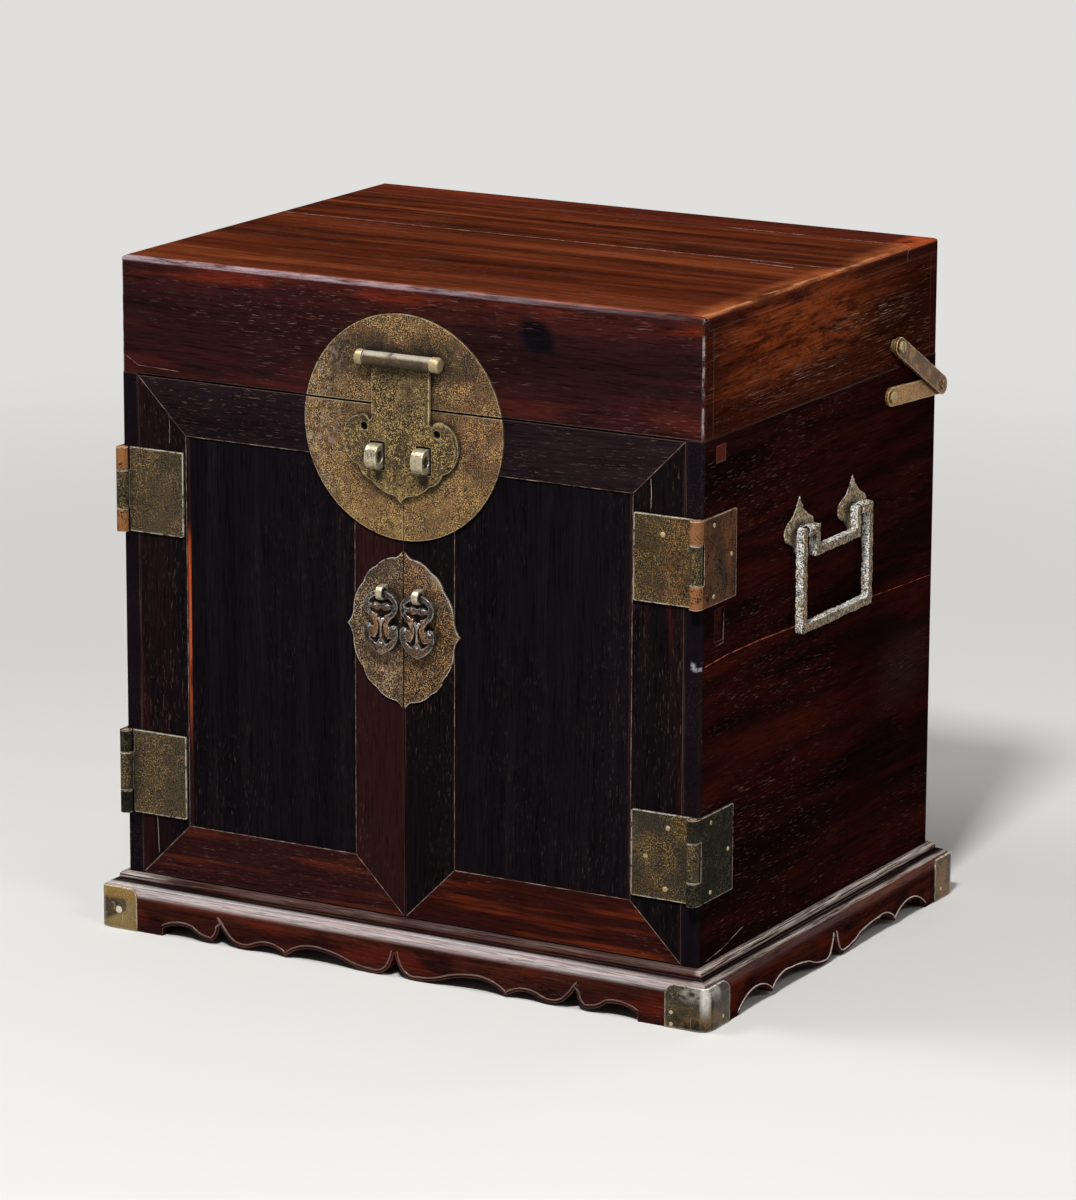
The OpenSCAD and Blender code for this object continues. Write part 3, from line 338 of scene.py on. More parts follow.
def dress_lid():
    # 1 on the end faces away from their outer edges, where the lid's pieces meet without a step
    flush_end = area(out=(168.8, 169.4), y=(FRONT_Y + 4, BACK_Y - 4, 0.5), z=(TOP_Z - 3.4, TOP_Z - 3.8))
    rim = area(x=(152, 167), cloud=((60, 30, 60), 5, 0.30, 0.60))
    pale_end = area(x=(165.5, 168.4, 0.8), cloud=((300, 40, 300), 6, 0.46, 0.60, 4.0, 0.7))
    end = area(out=(167.8, 168.8), z=(TOP_Z - 0.7, TOP_Z - 1.5))
    dark_back = area(y=(28, 46, 7), cloud=((7, 90, 60), 8, 0.40, 0.58))
    dark_left = area(x=(-112, -54, 9), y=(-84, -60, 3), cloud=((9, 160, 60), 7, 0.5, 0.6, 3.0))
    dusty = area(cloud=((16, 1500, 200), 14, 0.60, 0.70, 3.0, 0.7), also=area(cloud=((14, 20, 20), 15, 0.44, 0.62)))
    dress(wood("lid_top", X_GRAIN, ((34, 12, 6), (76, 32, 17), (122, 60, 32)), 1, flecks=0.35, rough=0.40,
               streaks=0.75, figure=48.0, worn=0.3, flush=flush_end,
               zones=[(rim, (142, 76, 40), 0.8), (pale_end, (190, 138, 100), 0.5), (dark_back, (36, 16, 10), 0.8),
                      (dark_left, (34, 15, 10), 0.7), (dusty, (160, 120, 98), 0.4), (end, lid_end_colour, 1.0)]),
          "lid_top_boards")
    strip_end = area(x=(152, 162), z=(TOP_Z - 2.0, TOP_Z - 1.2), cloud=(90, 13, 0.3, 0.55, 3.0))
    strip_face = area(out=(168, 169.2), z=(TOP_Z - 1.2, TOP_Z - 2.0))
    dress(wood("lid_strip", X_GRAIN, ((42, 17, 11), (80, 32, 20), (112, 50, 30)), 12, flecks=0.4, worn=0.3,
               flush=flush_end, zones=[(strip_end, (160, 72, 36), 0.85), (strip_face, lid_end_colour, 1.0)]),
          "lid_top_strip")
    leaning = lambda s: s.between(s.plus(s.x, s.z), 404, 427, 4)
    knot = area(x=(67, 86, 3), z=(331, 348, 3), cloud=((120, 40, 160), 3, 0.2, 0.4, 3.0), also=leaning)
    # painted highlight along the rounded top front edge, stronger towards the left, with some pale wear
    rim_highlight = area(x=(200, -80), y=(FRONT_Y + 3, FRONT_Y + 2), z=(TOP_Z - 2.9, TOP_Z - 2.0),
                    cloud=((60, 60, 700), 17, 0.28, 0.58, 5.0, 0.7))
    lip = area(z=(TOP_Z - 1.0, TOP_Z - 0.3), cloud=((50, 200, 60), 18, 0.36, 0.60, 4.0, 0.7))
    red_rim = area(z=(349, 355, 2), cloud=((22, 20, 140), 9, 0.44, 0.62))
    bottom_red = area(z=(298, 308, 3), cloud=((14, 20, 90), 19, 0.45, 0.62))
    # painted glint along the lid's front corner edges
    corner = area(out=(168.6, 169.8, 0.3), y=(FRONT_Y + 1.4, FRONT_Y + 0.7),
                  cloud=((200, 200, 90), 37, 0.42, 0.60, 5.0, 0.7))
    at_end = area(out=(168.9, 169.5), z=(TOP_Z - 1.0, TOP_Z - 2.0))
    dress(wood("lid_front", X_GRAIN, ((20, 10, 10), (37, 19, 19), (66, 27, 23)), 2, worn=0.9, polish=0.6,
               streaks=0.4, pore_run=120, flush=flush_end, wears=area(y=(FRONT_Y + 2.5, FRONT_Y + 1.5)),
               zones=[(knot, (14, 11, 15), 0.95), (red_rim, (104, 36, 22), 0.6), (bottom_red, (78, 30, 26), 0.5),
                      (lip, (150, 76, 50), 0.6), (rim_highlight, (166, 148, 154), 0.6), (at_end, lid_end_colour, 1.0),
                      (corner, (172, 162, 164), 0.7)]),
          "lid_front")
    for node, seed in (("lid_back", 32), ("lid_ends", 6)):
        dress(wood(node, Y_GRAIN, END_TONES, seed, worn=0.08, pore_run=120, flush=flush_end,
                   zones=[(area(z=(100, 200)), lid_end_colour, 1.0)]), node)


def dress_case():
    tones = ((14, 6, 6), (27, 11, 10), (58, 20, 13))
    low_board = area(z=(100, 183, 6), cloud=((40, 9, 60), 23, 0.45, 0.6, 3.0))
    high_board = area(z=(186, 300, 6), cloud=((40, 12, 90), 24, 0.48, 0.62))
    front_edge = area(y=(FRONT_Y + 4, FRONT_Y + 0.5))
    smudge = area(y=(70, 120, 16), z=(118, 150, 12))
    # a chip in the front edge of the side board, with a painted bluish-white glint on it
    chip_glint = area(x=(163.5, 165), y=(FRONT_Y + 1.5, FRONT_Y + 0.5), z=(181.5, 185.5, 1.2),
                cloud=((340, 200, 420), 44, 0.46, 0.56, 3.0))
    zones = [(low_board, (56, 18, 11), 0.38), (high_board, (50, 19, 15), 0.5), (smudge, (44, 32, 32), 0.5),
             (front_edge, (17, 14, 19), 0.9), (chip_glint, (150, 152, 160), 0.8)]
    for node, seed in (("side_right", 4), ("side_left", 41)):
        dress(wood(node, Y_GRAIN, tones, seed, flecks=0.4, zones=zones, worn=0.45, figure=44.0,
                   pore_run=120), node)
    dress(wood("back_panel", Z_GRAIN, tones, 44, flecks=0.35), "back_panel")
    dress(wood("front_rail", X_GRAIN, ((24, 12, 11), (48, 22, 18), (74, 32, 22)), 45,
               zones=[(area(z=(280, 282)), (96, 38, 26), 0.7)]), "front_rail")


def dress_doors():
    for side, sign in zip(SIDES, (-1, 1)):
        inner = area(x=(*sorted((0, sign * 40)), 1))
        if side == "left":
            outer_red = area(x=(-140, -148), cloud=((150, 30, 5), 26, 0.5, 0.62, 3.0))
            zones = [(inner, (43, 21, 21), 0.75), (outer_red, (42, 17, 17), 0.6)]
            low_rail = ((43, 20, 19), (84, 34, 24))
        else:
            leaning = lambda s: s.between(s.plus(s.x, s.times(s.z, 0.07)), 164.9, 167.9, 1.2)
            streak = area(z=(108, 226, 12), cloud=((160, 60, 14), 25, 0.34, 0.6), also=leaning)
            zones = [(inner, (17, 13, 15), 0.85), (streak, (58, 19, 16), 0.7)]
            low_rail = ((44, 16, 12), (112, 44, 23))
        dress(wood(side + "_stile", Z_GRAIN, ((13, 10, 12), (19, 14, 16), (32, 19, 19)), 50 + sign, flecks=0.3,
                   zones=zones, figure=70.0), side + "_door_stiles")
        low = area(z=(120, 110))
        flame = area(z=(120, 110), cloud=((8, 40, 120), 27 + sign, 0.5, 0.66))
        dress(wood(side + "_rail", X_GRAIN, ((19, 14, 17), (29, 21, 24), (42, 29, 30)), 54 + sign,
                   zones=[(low, low_rail[0], 0.9), (flame, low_rail[1], 0.65)]), side + "_door_rails")
        inner_x = sign * (max(abs(x) for x in span(side + "_door_stiles", 0)) - FRAME_W)
        strip = area(x=(*sorted((inner_x + sign, inner_x - 2.1 * sign)), 0.3))
        zones = [(strip, (44, 26, 27), 0.7)]
        if side == "left":
            sapwood = area(x=(inner_x - 1, inner_x + 1.9, 0.4), z=(224, 204), also=area(z=(92, 160)),
                           cloud=((420, 60, 36), 45, 0.24, 0.52))
            zones.append((sapwood, (188, 84, 42), 0.85))
        dress(wood(side + "_panel", Z_GRAIN, ((13, 10, 13), (18, 14, 17), (28, 22, 24)), 58 + sign, flecks=0.16,
                   worn=0.2, figure=90.0, streaks=0.3, zones=zones), side + "_door_panel")


def dress_plinth():
    """Plinth with a painted highlight on its rounded front edge, painted shade in the cove over that, and dust on the
    bead and ledge either side of the cove.
    """
    tones = ((19, 9, 9), (52, 23, 19), (94, 43, 30))
    # painted shade in the cove along the top of the plinth
    groove_shade = area(z=(24.0, 25.6, 0.5))
    reds = area(z=(4, 17, 3), cloud=((18, 22, 60), 48, 0.48, 0.62))
    at_side = any_of(area(out=(168, 173)), area(x=(-130, -165)), lambda s: 0.16)
    # the last number of each row is how much painted highlight its rounded top edge gets
    for members, grain, seed, polish, pale in ((("base_front", "base_back"), X_GRAIN, 8, 1.0, 0.66),
                                               (("base_ends",), Y_GRAIN, 9, 0.0, 0.05)):
        streaky = along(grain, 26, 1300), seed + 20
        bead = area(z=(25.6, 26.8), cloud=(*streaky, 0.40, 0.56, 5.0, 0.75), also=at_side)
        ledge = area(z=(22.9, 24.4, 0.5), cloud=(*streaky, 0.40, 0.58, 5.0, 0.75), also=at_side)
        # painted highlight on the rounded top edge, broken into patches
        patchy = lambda s: s.plus(s.times(s.cloud(*streaky, 0.36, 0.66, 5.0, 0.75), 0.45), 0.55)
        shoulder_highlight = area(z=(19.2, 23.0, 1.5), also=patchy)
        scuffed = area(z=(0, 18, 3), cloud=(along(grain, 30, 60), seed + 22, 0.50, 0.64))
        dress(wood(members[0], grain, tones, seed, flecks=0.3, polish=polish, figure=60.0, gloss=0.16,
                   polished=area(z=(18.5, 24, 1.5)),
                   zones=[(scuffed, (26, 13, 12), 0.7), (reds, (96, 32, 22), 0.45), (shoulder_highlight, (210, 200, 198), pale),
                          (groove_shade, (12, 8, 10), 0.9), (bead, DUST, 1.0), (ledge, DUST, 0.8)]), *members)


def dress_inside():
    tones = ((74, 44, 26), (122, 78, 46), (158, 108, 68))
    plain = dict(flecks=0.25, worn=0.25, streaks=0.3, rough=0.55)
    dress(wood("inner_board", X_GRAIN, tones, 61, **plain), "carcase_floor", "tray_floor", "drawer_shelf")
    dress(wood("inner_strip", Y_GRAIN, tones, 62, **plain), "drawer_dividers", "drawer_guides")
    dress(wood("drawer", X_GRAIN, tones, 63, flecks=0.3, worn=0.35, rough=0.5,
               zones=[(area(y=(-98.5, -99.2)), (84, 38, 24), 0.85)]),
          *[f"{row}_{side}_drawer" for row in ROWS for side in SIDES])


# Brass

GRIME_AND_SHADE = (20, 15, 12)


def brass(name, base, dark, bright, seed, speck=0.5, rough=0.5, metal=0.14, patches=0.6, worn=0.8, relief=0.06,
          zones=(), edge=None, specular=0.12, rim=0.9, grime_and_shade=0.9, reach=5.0, spared=None, calm=None):
    """Old brass: mottled patina, fine dark and bright specks, dirt and painted shade in its corners and under other
    pieces, and edges rubbed bright.
    """
    s = Shader(name)
    mottle = s.noise(55, seed, 5.0, 0.65)
    colour = s.blend(base, dark, s.times(s.ramp_up(mottle, 0.50, 0.64), patches))
    colour = s.tinted(colour, zones)
    grit = s.plus(s.times(s.noise(1450, seed + 1, 2.0, 0.7), 0.8), s.times(s.noise(430, seed + 8, 3.0, 0.7), 0.2))
    if calm is not None:
        speck = s.times(s.less(calm(s)), speck)
    pitted = s.plus(s.cloud(95, seed + 2, 0.40, 0.58, 4.0, 0.65), 0.35)
    gilded = s.plus(s.cloud(70, seed + 9, 0.42, 0.60, 4.0, 0.65), 0.3)
    colour = s.blend(colour, dark, s.times(s.ramp_up(grit, 0.50, 0.44), pitted, speck, 1.6))
    colour = s.blend(colour, bright, s.times(s.ramp_up(grit, 0.53, 0.59), gilded, speck, 1.4))
    colour = s.blend(colour, bright, s.times(s.cloud((900, 900, 60), seed + 3, 0.70, 0.76, 1.0), 0.25))
    rub = s.times(s.edges(rim), s.cloud(260, seed + 5, 0.34, 0.54, 4.0, 0.7), worn)
    if spared is not None:
        rub = s.times(rub, s.less(spared(s)))
    colour = s.blend(colour, edge or bright, rub)
    # painted shade: corners and the surface under other pieces are darkened, partly dirt and partly standing in for
    # shadow
    colour = s.blend(colour, GRIME_AND_SHADE, s.times(s.most(s.crevice(reach), s.crevice(reach * 0.35)), grime_and_shade))
    gloss = s.plus(s.times(mottle, 0.25), rough - 0.10)
    normal = s.rounded(0.35, s.bump(s.plus(s.times(grit, 0.5), mottle), relief, 0.6))
    return s.finish(colour, gloss, normal, Metallic=metal, Specular_IOR_Level=specular)


def bore_shade(s):
    """1 inside and round the bore of the lock staples, where the shade is painted."""
    centre = (0, LOCK_BORE_Y, sum(span("left_lock_staple", 2)) / 2)
    across = s.node("CombineXYZ", {1: s.y, 2: s.z}).outputs[0]
    return s.beyond(s.far(centre, across), 3.4, 2.9)


# the lock staples get painted shade inside their bores
STAPLE_BRASS = brass("staple_brass", (178, 166, 138), (92, 76, 56), (236, 232, 214), 75, speck=0.3, rough=0.32,
                     patches=0.5, metal=0.6, edge=(244, 240, 228), reach=2.5, grime_and_shade=0.95,
                     zones=[(bore_shade, (30, 24, 18), 0.9)])


def dress_lock():
    """Round lock plate, hasp with its bar, and the staples."""
    pale_left = area(x=(-28, -50), cloud=((320, 60, 200), 71, 0.48, 0.6, 5.0, 0.7))
    by_bar = area(x=(-44, 46, 8), z=(312, 332, 7), cloud=(60, 72, 0.26, 0.48))
    gold_low = area(z=(268, 246), cloud=(60, 66, 0.36, 0.54))
    russet = area(z=(262, 280), cloud=(34, 69, 0.46, 0.58, 3.0))
    blotch = area(z=(262, 285), cloud=(48, 57, 0.50, 0.62, 5.0, 0.65))
    dress(brass("lock_plate_brass", (96, 72, 48), (38, 29, 23), (186, 152, 98), 70, speck=0.78, edge=(206, 188, 150),
                reach=8.0, calm=lambda s: s.times(by_bar(s), 0.6),
                zones=[(russet, (106, 68, 50), 0.6), (gold_low, (132, 102, 62), 0.6), (blotch, (56, 46, 36), 0.7),
                       (by_bar, (34, 30, 27), 0.9), (pale_left, (160, 146, 130), 0.6)]),
          "lock_plate_upper", "left_lock_plate", "right_lock_plate")
    right_neck = area(x=(15.5, 16.6), z=(288, 292))
    tip = area(z=(268, 258), cloud=(80, 65, 0.36, 0.54, 3.0))
    # painted shadows on the hasp below the two lock staples
    shaded = any_of(area(x=(-15.5, -9.5, 1.5), z=(258.5, 265, 2)), area(x=(11, 17, 1.5), z=(257, 265, 2)))
    low, high = span("hasp_bar", 2)
    # painted highlight along the top of the bar and of the hasp's knuckle
    bar_top_highlight = area(z=((low + high) / 2 + 1, high - 1.4), cloud=((160, 120, 120), 56, 0.26, 0.50))
    barrel = area(z=(low - 0.6, low + 0.4))
    dress(brass("hasp_brass", (84, 69, 45), (32, 25, 18), (176, 150, 96), 73, speck=0.68, edge=(206, 190, 150),
                calm=lambda s: s.times(s.most(shaded(s), barrel(s)), 0.8),
                zones=[(area(out=(17.5, 22)), (70, 56, 42), 0.6), (tip, (118, 96, 58), 0.6),
                       (right_neck, (178, 160, 116), 0.8), (shaded, (20, 15, 10), 0.9), (barrel, (64, 54, 42), 0.9),
                       (bar_top_highlight, (172, 164, 150), 0.75)]), "hasp")
    dress(brass("bar_brass", (64, 54, 42), (32, 27, 23), (150, 132, 100), 74, speck=0.12, rough=0.4, metal=0.5,
                edge=(220, 208, 172),
                zones=[(bar_top_highlight, (168, 160, 146), 0.75), (area(out=(19.5, 20.5)), (172, 156, 116), 0.9)]), "hasp_bar")
    dress(STAPLE_BRASS, *[side + staple for side in SIDES for staple in ("_lock_staple", "_pull_staple")])


def dress_leaves():
    """Hinges, with russet side leaves at the top and dark ones below."""
    stipple = area(x=(148, 163, 5), z=(150, 160), cloud=(420, 68, 0.46, 0.56, 2.0))
    low_right = area(x=(0, 10), z=(155, 150), cloud=(40, 49, 0.60, 0.42))
    leaf = brass("hinge_leaf_brass", (58, 46, 29), (22, 18, 13), (146, 118, 70), 76, speck=0.65,
                 edge=(222, 214, 194), worn=1.0, rim=1.2, reach=3.0, calm=lambda s: s.times(low_right(s), 0.45),
                 zones=[(low_right, (34, 32, 28), 0.85), (area(x=(0, -10)), (70, 66, 60), 0.28),
                        (stipple, (116, 72, 42), 0.5), (area(out=(164.4, 165)), (44, 42, 32), 0.85)])
    dress(leaf, "left_door_leaves", "right_door_leaves")
    upper = area(z=(150, 160))
    russet = area(z=(150, 160), cloud=((52, 52, 26), 64, 0.40, 0.62, 6.0, 0.7))
    barrels = area(y=(HINGE_Y + 1.9, HINGE_Y + 1.5), z=(150, 160))
    dress(brass("side_leaf_brass", (34, 32, 26), (18, 17, 14), (84, 78, 62), 79, speck=0.5, specular=0.0,
                edge=(214, 190, 168), worn=0.95, reach=3.0,
                zones=[(upper, (60, 44, 37), 0.92), (russet, (132, 80, 46), 0.55), (barrels, (150, 100, 64), 0.85)]),
          "door_hinge_side_leaves")
    dress(brass("pin_brass", (150, 120, 80), (80, 60, 40), (200, 176, 130), 80, speck=0.2), "hinge_pins")
    dress(brass("lid_leaf_brass", (88, 70, 44), (50, 40, 28), (136, 110, 66), 81, speck=0.4),
          "lid_hinge_case_leaves", "lid_hinge_lid_leaves", *[f"{row}_{side}_knob" for row in ROWS for side in SIDES])


def dress_pulls():
    shared = dict(speck=0.75, worn=1.0, rim=1.0, spared=area(out=(1.3, 0.7)))
    pale_low = area(z=(178, 160), cloud=(300, 63, 0.46, 0.58, 4.0, 0.7))
    green = area(z=(186, 200), cloud=(50, 62, 0.40, 0.56, 3.0))
    dress(brass("left_pull_brass", (69, 50, 37), (32, 26, 21), (172, 148, 114), 77, edge=(220, 214, 202),
                zones=[(green, (54, 48, 38), 0.75), (pale_low, (140, 114, 80), 0.52)], **shared), "left_pull_plate")
    grey_high = area(x=(5, 12), z=(192, 204), cloud=(60, 61, 0.34, 0.52, 3.0))
    stipple = area(z=(196, 178), cloud=(900, 60, 0.52, 0.57, 2.0))
    reddish = area(z=(194, 206), cloud=(90, 55, 0.36, 0.56))
    dress(brass("right_pull_brass", (50, 36, 27), (24, 16, 12), (174, 138, 94), 78, edge=(226, 218, 204),
                zones=[(reddish, (84, 52, 42), 0.75), (grey_high, (142, 128, 108), 0.75),
                       (stipple, (146, 106, 62), 0.45)], **shared), "right_pull_plate")


def dress_stay():
    gold = area(cloud=(90, 59, 0.52, 0.62))
    shared = dict(speck=0.3, rough=0.36, patches=0.5, metal=0.55, edge=(236, 206, 150), worn=0.9)
    dress(brass("upper_link_brass", (100, 68, 46), (56, 40, 32), (206, 164, 112), 82,
                zones=[(gold, (168, 128, 74), 0.6)], **shared), "stay_upper_link")
    dress(brass("lower_link_brass", (160, 116, 70), (104, 70, 40), (220, 180, 124), 83, **shared), "stay_lower_link")
    dress(brass("screw_brass", (168, 142, 92), (96, 72, 42), (232, 212, 160), 84, speck=0.2, rough=0.3),
          "stay_lid_screw", "stay_case_pin")


def dress_mounts():
    """Corner mounts: dark and glossy with painted glare at the front right, and gold with a dark patch and a painted
    highlight spot at the front left.
    """
    out_x, out_y = span("base_corner_mounts", 0)[1], span("base_corner_mounts", 1)[0]
    amber_rear = area(y=(110, 118), cloud=(90, 58, 0.36, 0.56, 3.0))
    heads = [(out_x - 20.5, out_y, 8.3), (out_x - 20.5, out_y, 2.2), (out_x, out_y + 17, 5), (out_x, -out_y - 17, 6)]
    nail_heads = lambda s: s.most(*[s.spot(head, 1.0) for head in heads])
    # painted highlight spot on the front left mount
    highlight_spot = (-out_x + 12.8, out_y, 10.6)
    # painted glare down the front right corner
    glare = area(x=(out_x - 5.5, out_x - 2.5), y=(out_y + 5.5, out_y + 2.5), z=(4, 16),
                 cloud=((420, 420, 160), 54, 0.16, 0.50))
    over_slant = lambda s: s.beyond(s.math("SUBTRACT", s.z, s.times(s.plus(s.x, out_x * MM), 0.5)), 0.5, 3.5)
    dark_patch = area(x=(-163.0, -165.5), z=(18.5, 16.0), cloud=(210, 42, 0.30, 0.46), also=over_slant)
    ochre = area(x=(-150, -156), z=(15, 18), cloud=((260, 200, 200), 40, 0.36, 0.54))
    # painted highlight near the top of the front right mount
    shine = area(x=(out_x - 15, out_x + 2, 3), y=(out_y + 16, out_y + 12), z=(13, 19),
                 cloud=((150, 150, 240), 47, 0.36, 0.56))
    # painted amber glare on the lower part of the mounts
    amber = area(z=(14, 8), cloud=(110, 46, 0.48, 0.60))
    dress(brass("mount_brass", (60, 53, 42), (26, 24, 21), (196, 184, 158), 85, speck=0.12, rough=0.26, metal=0.8,
                patches=0.8, edge=(214, 206, 188), rim=1.4, grime_and_shade=0.3,
                zones=[(area(x=(-150, -156)), (158, 134, 86), 0.7), (amber_rear, (140, 96, 46), 0.6),
                       (dark_patch, (42, 39, 36), 0.85), (ochre, (146, 108, 48), 0.6),
                       (lambda s: s.spot(highlight_spot, 1.9), (236, 230, 210), 0.85), (amber, (118, 88, 50), 0.5),
                       (nail_heads, (206, 188, 150), 0.9),
                       (shine, (186, 182, 172), 0.6), (glare, (230, 226, 216), 0.8)]), "base_corner_mounts")


dress_lid()
dress_case()
dress_doors()
dress_plinth()
dress_inside()
dress_lock()
dress_leaves()
dress_pulls()
dress_stay()
dress_mounts()


# Cast and weathered pieces: rounder copies of their CAD nodes

def weathered_metal(name, base, dark, bright, seed, outer=0.75):
    """Pale, crusted casting with dark pits, and painted shade that makes the faces that look outward browner and
    darkens its crevices.
    """
    s = Shader(name)
    crust = s.noise(240, seed, 5.0, 0.7)
    colour = s.ramp(crust, [(0.40, dark), (0.50, base), (0.60, bright)])
    colour = s.blend(colour, (172, 138, 86), s.times(s.cloud(130, seed + 1, 0.50, 0.60, 5.0, 0.65), 0.55))
    # painted shade: the faces that look outward, along x, turn browner by the outer share
    out = s.ramp_up(s.math("ABSOLUTE", s.split(s.facing)[0]), 0.55, 0.95)
    colour = s.blend(colour, (84, 65, 45), s.times(out, outer))
    grit = s.noise(1150, seed + 2, 3.0, 0.75)
    colour = s.blend(colour, (30, 26, 24), s.times(s.ramp_up(grit, 0.51, 0.43), 0.95))
    # bright specks, whiter on the faces that look forward and browner on the shaded faces that look outward
    lit = s.blend((248, 247, 242), (200, 168, 116), out)
    colour = s.blend(colour, lit, s.times(s.ramp_up(grit, 0.535, 0.60), 0.9))
    # painted shade in the crevices
    colour = s.blend(colour, (18, 14, 12), s.times(s.crevice(5.0), 0.95))
    normal = s.bump(s.plus(crust, grit), 0.3, 1.0)
    return s.finish(colour, s.plus(s.times(crust, 0.3), 0.34), normal, Metallic=0.05, Specular_IOR_Level=0.15)


def cast_copy(node, body, material, voxel, lumps, lump_size, smooth=2):
    """A rounded, slightly lumpy copy of a CAD node that stands in for it."""
    copy = placed("cast_" + node, nodes[node].data.copy())
    remesh = copy.modifiers.new("even", "REMESH")
    remesh.mode = "VOXEL"
    remesh.voxel_size = voxel * MM
    soften = copy.modifiers.new("soften", "SMOOTH")
    soften.factor = 0.5
    soften.iterations = smooth
    bpy.context.view_layer.update()
    mesh = bpy.data.meshes.new_from_object(copy.evaluated_get(bpy.context.evaluated_depsgraph_get()))
    copy.modifiers.clear()
    copy.data = mesh
    moved = []
    for vertex in mesh.vertices:
        shift = noise.noise(vertex.co / (lump_size * MM)) - 0.35
        moved.extend(vertex.co + vertex.normal * shift * lumps * MM)
    mesh.vertices.foreach_set("co", moved)
    mesh.polygons.foreach_set("use_smooth", [True] * len(mesh.polygons))
    mesh.materials.clear()
    mesh.materials.append(material)
    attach(copy, body)
    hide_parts(node)


def cast_pieces():
    pale = weathered_metal("weathered_handle", (184, 181, 173), (70, 64, 58), (232, 230, 222), 90)
    for side in SIDES:
        cast_copy("bail_" + side, side + "_bail", pale, 0.55, 0.5, 2.6)
    cast_copy("handle_posts", "carcase", pale, 0.5, 0.9, 2.6, 24)
    yellowish = weathered_metal("weathered_plate", (186, 168, 132), (70, 58, 46), (236, 226, 202), 91, 0.4)
    cast_copy("handle_plates", "carcase", yellowish, 0.35, 0.4, 2.4)
    middle = sum(span("right_pendant", 0)) / 2

    def near_middle(low, high):
        return lambda s: s.beyond(s.math("ABSOLUTE", s.math("SUBTRACT", s.out(), middle * MM)), low, high)

    straps = area(z=(178, 193, 2), cloud=(200, 94, 0.30, 0.46, 2.0), also=near_middle(5.4, 4.6))
    brown = area(z=(164, 182, 3), cloud=(220, 95, 0.42, 0.54, 3.0), also=near_middle(7.6, 6.6))
    bronze = brass("pendant_bronze", (58, 52, 48), (22, 21, 21), (186, 174, 158), 93, speck=0.35, rough=0.26,
                   metal=0.6, edge=(236, 232, 224), patches=0.7, relief=0.12, rim=1.1, reach=2.5,
                   zones=[(straps, (138, 88, 46), 0.75), (brown, (108, 72, 42), 0.6)])
    for side in SIDES:
        cast_copy(side + "_pendant", side + "_pendant", bronze, 0.32, 0.12, 1.6, 1)
        pendant_stem(side, bronze)
        cast_copy(side + "_lock_staple", side + "_door", STAPLE_BRASS, 0.3, 0.15, 1.6, 5)
        cast_copy(side + "_pull_staple", side + "_door", STAPLE_BRASS, 0.25, 0.1, 1.6, 2)


# Added detail: each builder collects one piece's mesh

FRONT, RIGHT, TOP = (0, -1, 0), (1, 0, 0), (0, 0, 1)


def make_piece(name, build, material, body, smooth=True):
    mesh = bpy.data.meshes.new(name)
    build.to_mesh(mesh)
    build.free()
    mesh.polygons.foreach_set("use_smooth", [smooth] * len(mesh.polygons))
    mesh.materials.append(material)
    piece = placed(name, mesh)
    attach(piece, body)


def skin(build, rings):
    """Faces from each ring of vertices to the next, with a cap on both ends."""
    for low, high in zip(rings, rings[1:]):
        for i in range(len(low)):
            j = (i + 1) % len(low)
            build.faces.new((low[i], low[j], high[j], high[i]))
    build.faces.new(rings[-1])
    build.faces.new(list(reversed(rings[0])))


def add_dome(build, at, out, radius, height, profile, sides=18):
    """Turned head that stands out along out. profile lists shares of radius and height."""
    turn = Vector(out).to_track_quat("Z", "X").to_matrix()
    circle = [(cos(2 * pi * i / sides), sin(2 * pi * i / sides)) for i in range(sides)]
    rings = []
    for share, rise in profile:
        spots = [Vector((x * share * radius, y * share * radius, rise * height)) for x, y in circle]
        rings.append([build.verts.new((Vector(at) + turn @ spot) * MM) for spot in spots])
    skin(build, rings)


def ahead_of(path, i):
    """Direction of a path at one of its points."""
    return path[min(i + 1, len(path) - 1)] - path[max(i - 1, 0)]


def add_line(build, points, out, width, height, seed, broken=0.5):
    """Thin raised line along points on a face that looks along out. It thins out in places."""
    out = Vector(out)
    dense = []
    for first, last in zip(points, points[1:]):
        first, last = Vector(first), Vector(last)
        count = max(1, round((last - first).length / 1.6))
        dense += [first.lerp(last, i / count) for i in range(count)]
    dense.append(Vector(points[-1]))
    rings = []
    for i, spot in enumerate(dense):
        across = out.cross(ahead_of(dense, i)).normalized()
        swell = 0.5 + noise.noise(Vector((i * 0.31, seed * 7.1, 0)))
        share = max(0.12, min(1.0, 1 - broken + 2 * broken * (swell - 0.18)))
        if i in (0, len(dense) - 1):
            share *= 0.3
        half = across * width * share / 2
        rings.append([build.verts.new((spot + half * reach + out * rise) * MM)
                      for reach, rise in ((1, -0.05), (0.6, height * share), (-0.6, height * share), (-1, -0.05))])
    skin(build, rings)


def make_lines(name, material, body, rows):
    """A piece of raised lines; each row holds the arguments of add_line."""
    build = bmesh.new()
    for row in rows:
        add_line(build, *row)
    make_piece(name, build, material, body)


def line_material(name, base, other, seed):
    s = Shader(name)
    colour = s.blend(base, other, s.cloud(160, seed, 0.40, 0.62, 3.0))
    rough = s.plus(s.times(s.noise(300, seed + 2), 0.3), 0.55)
    return s.finish(colour, rough, s.bump(s.noise(2200, seed + 1), 0.05, 0.6), Specular_IOR_Level=0.2)


PALE_LINE = line_material("pale_filler", (150, 132, 122), (74, 54, 50), 101)
RED_LINE = line_material("red_seam", (150, 72, 42), (70, 26, 18), 104)

NAIL = [(1.0, -0.3), (1.0, 0.1), (0.92, 0.5), (0.7, 0.82), (0.4, 0.96), (0.12, 1.0)]
NAIL_H = 0.55
RIVET_MARK = [(1.0, -0.5), (1.0, 0.5), (0.9, 1.0), (0.74, 1.0), (0.66, 0.4), (0.3, 0.5)]

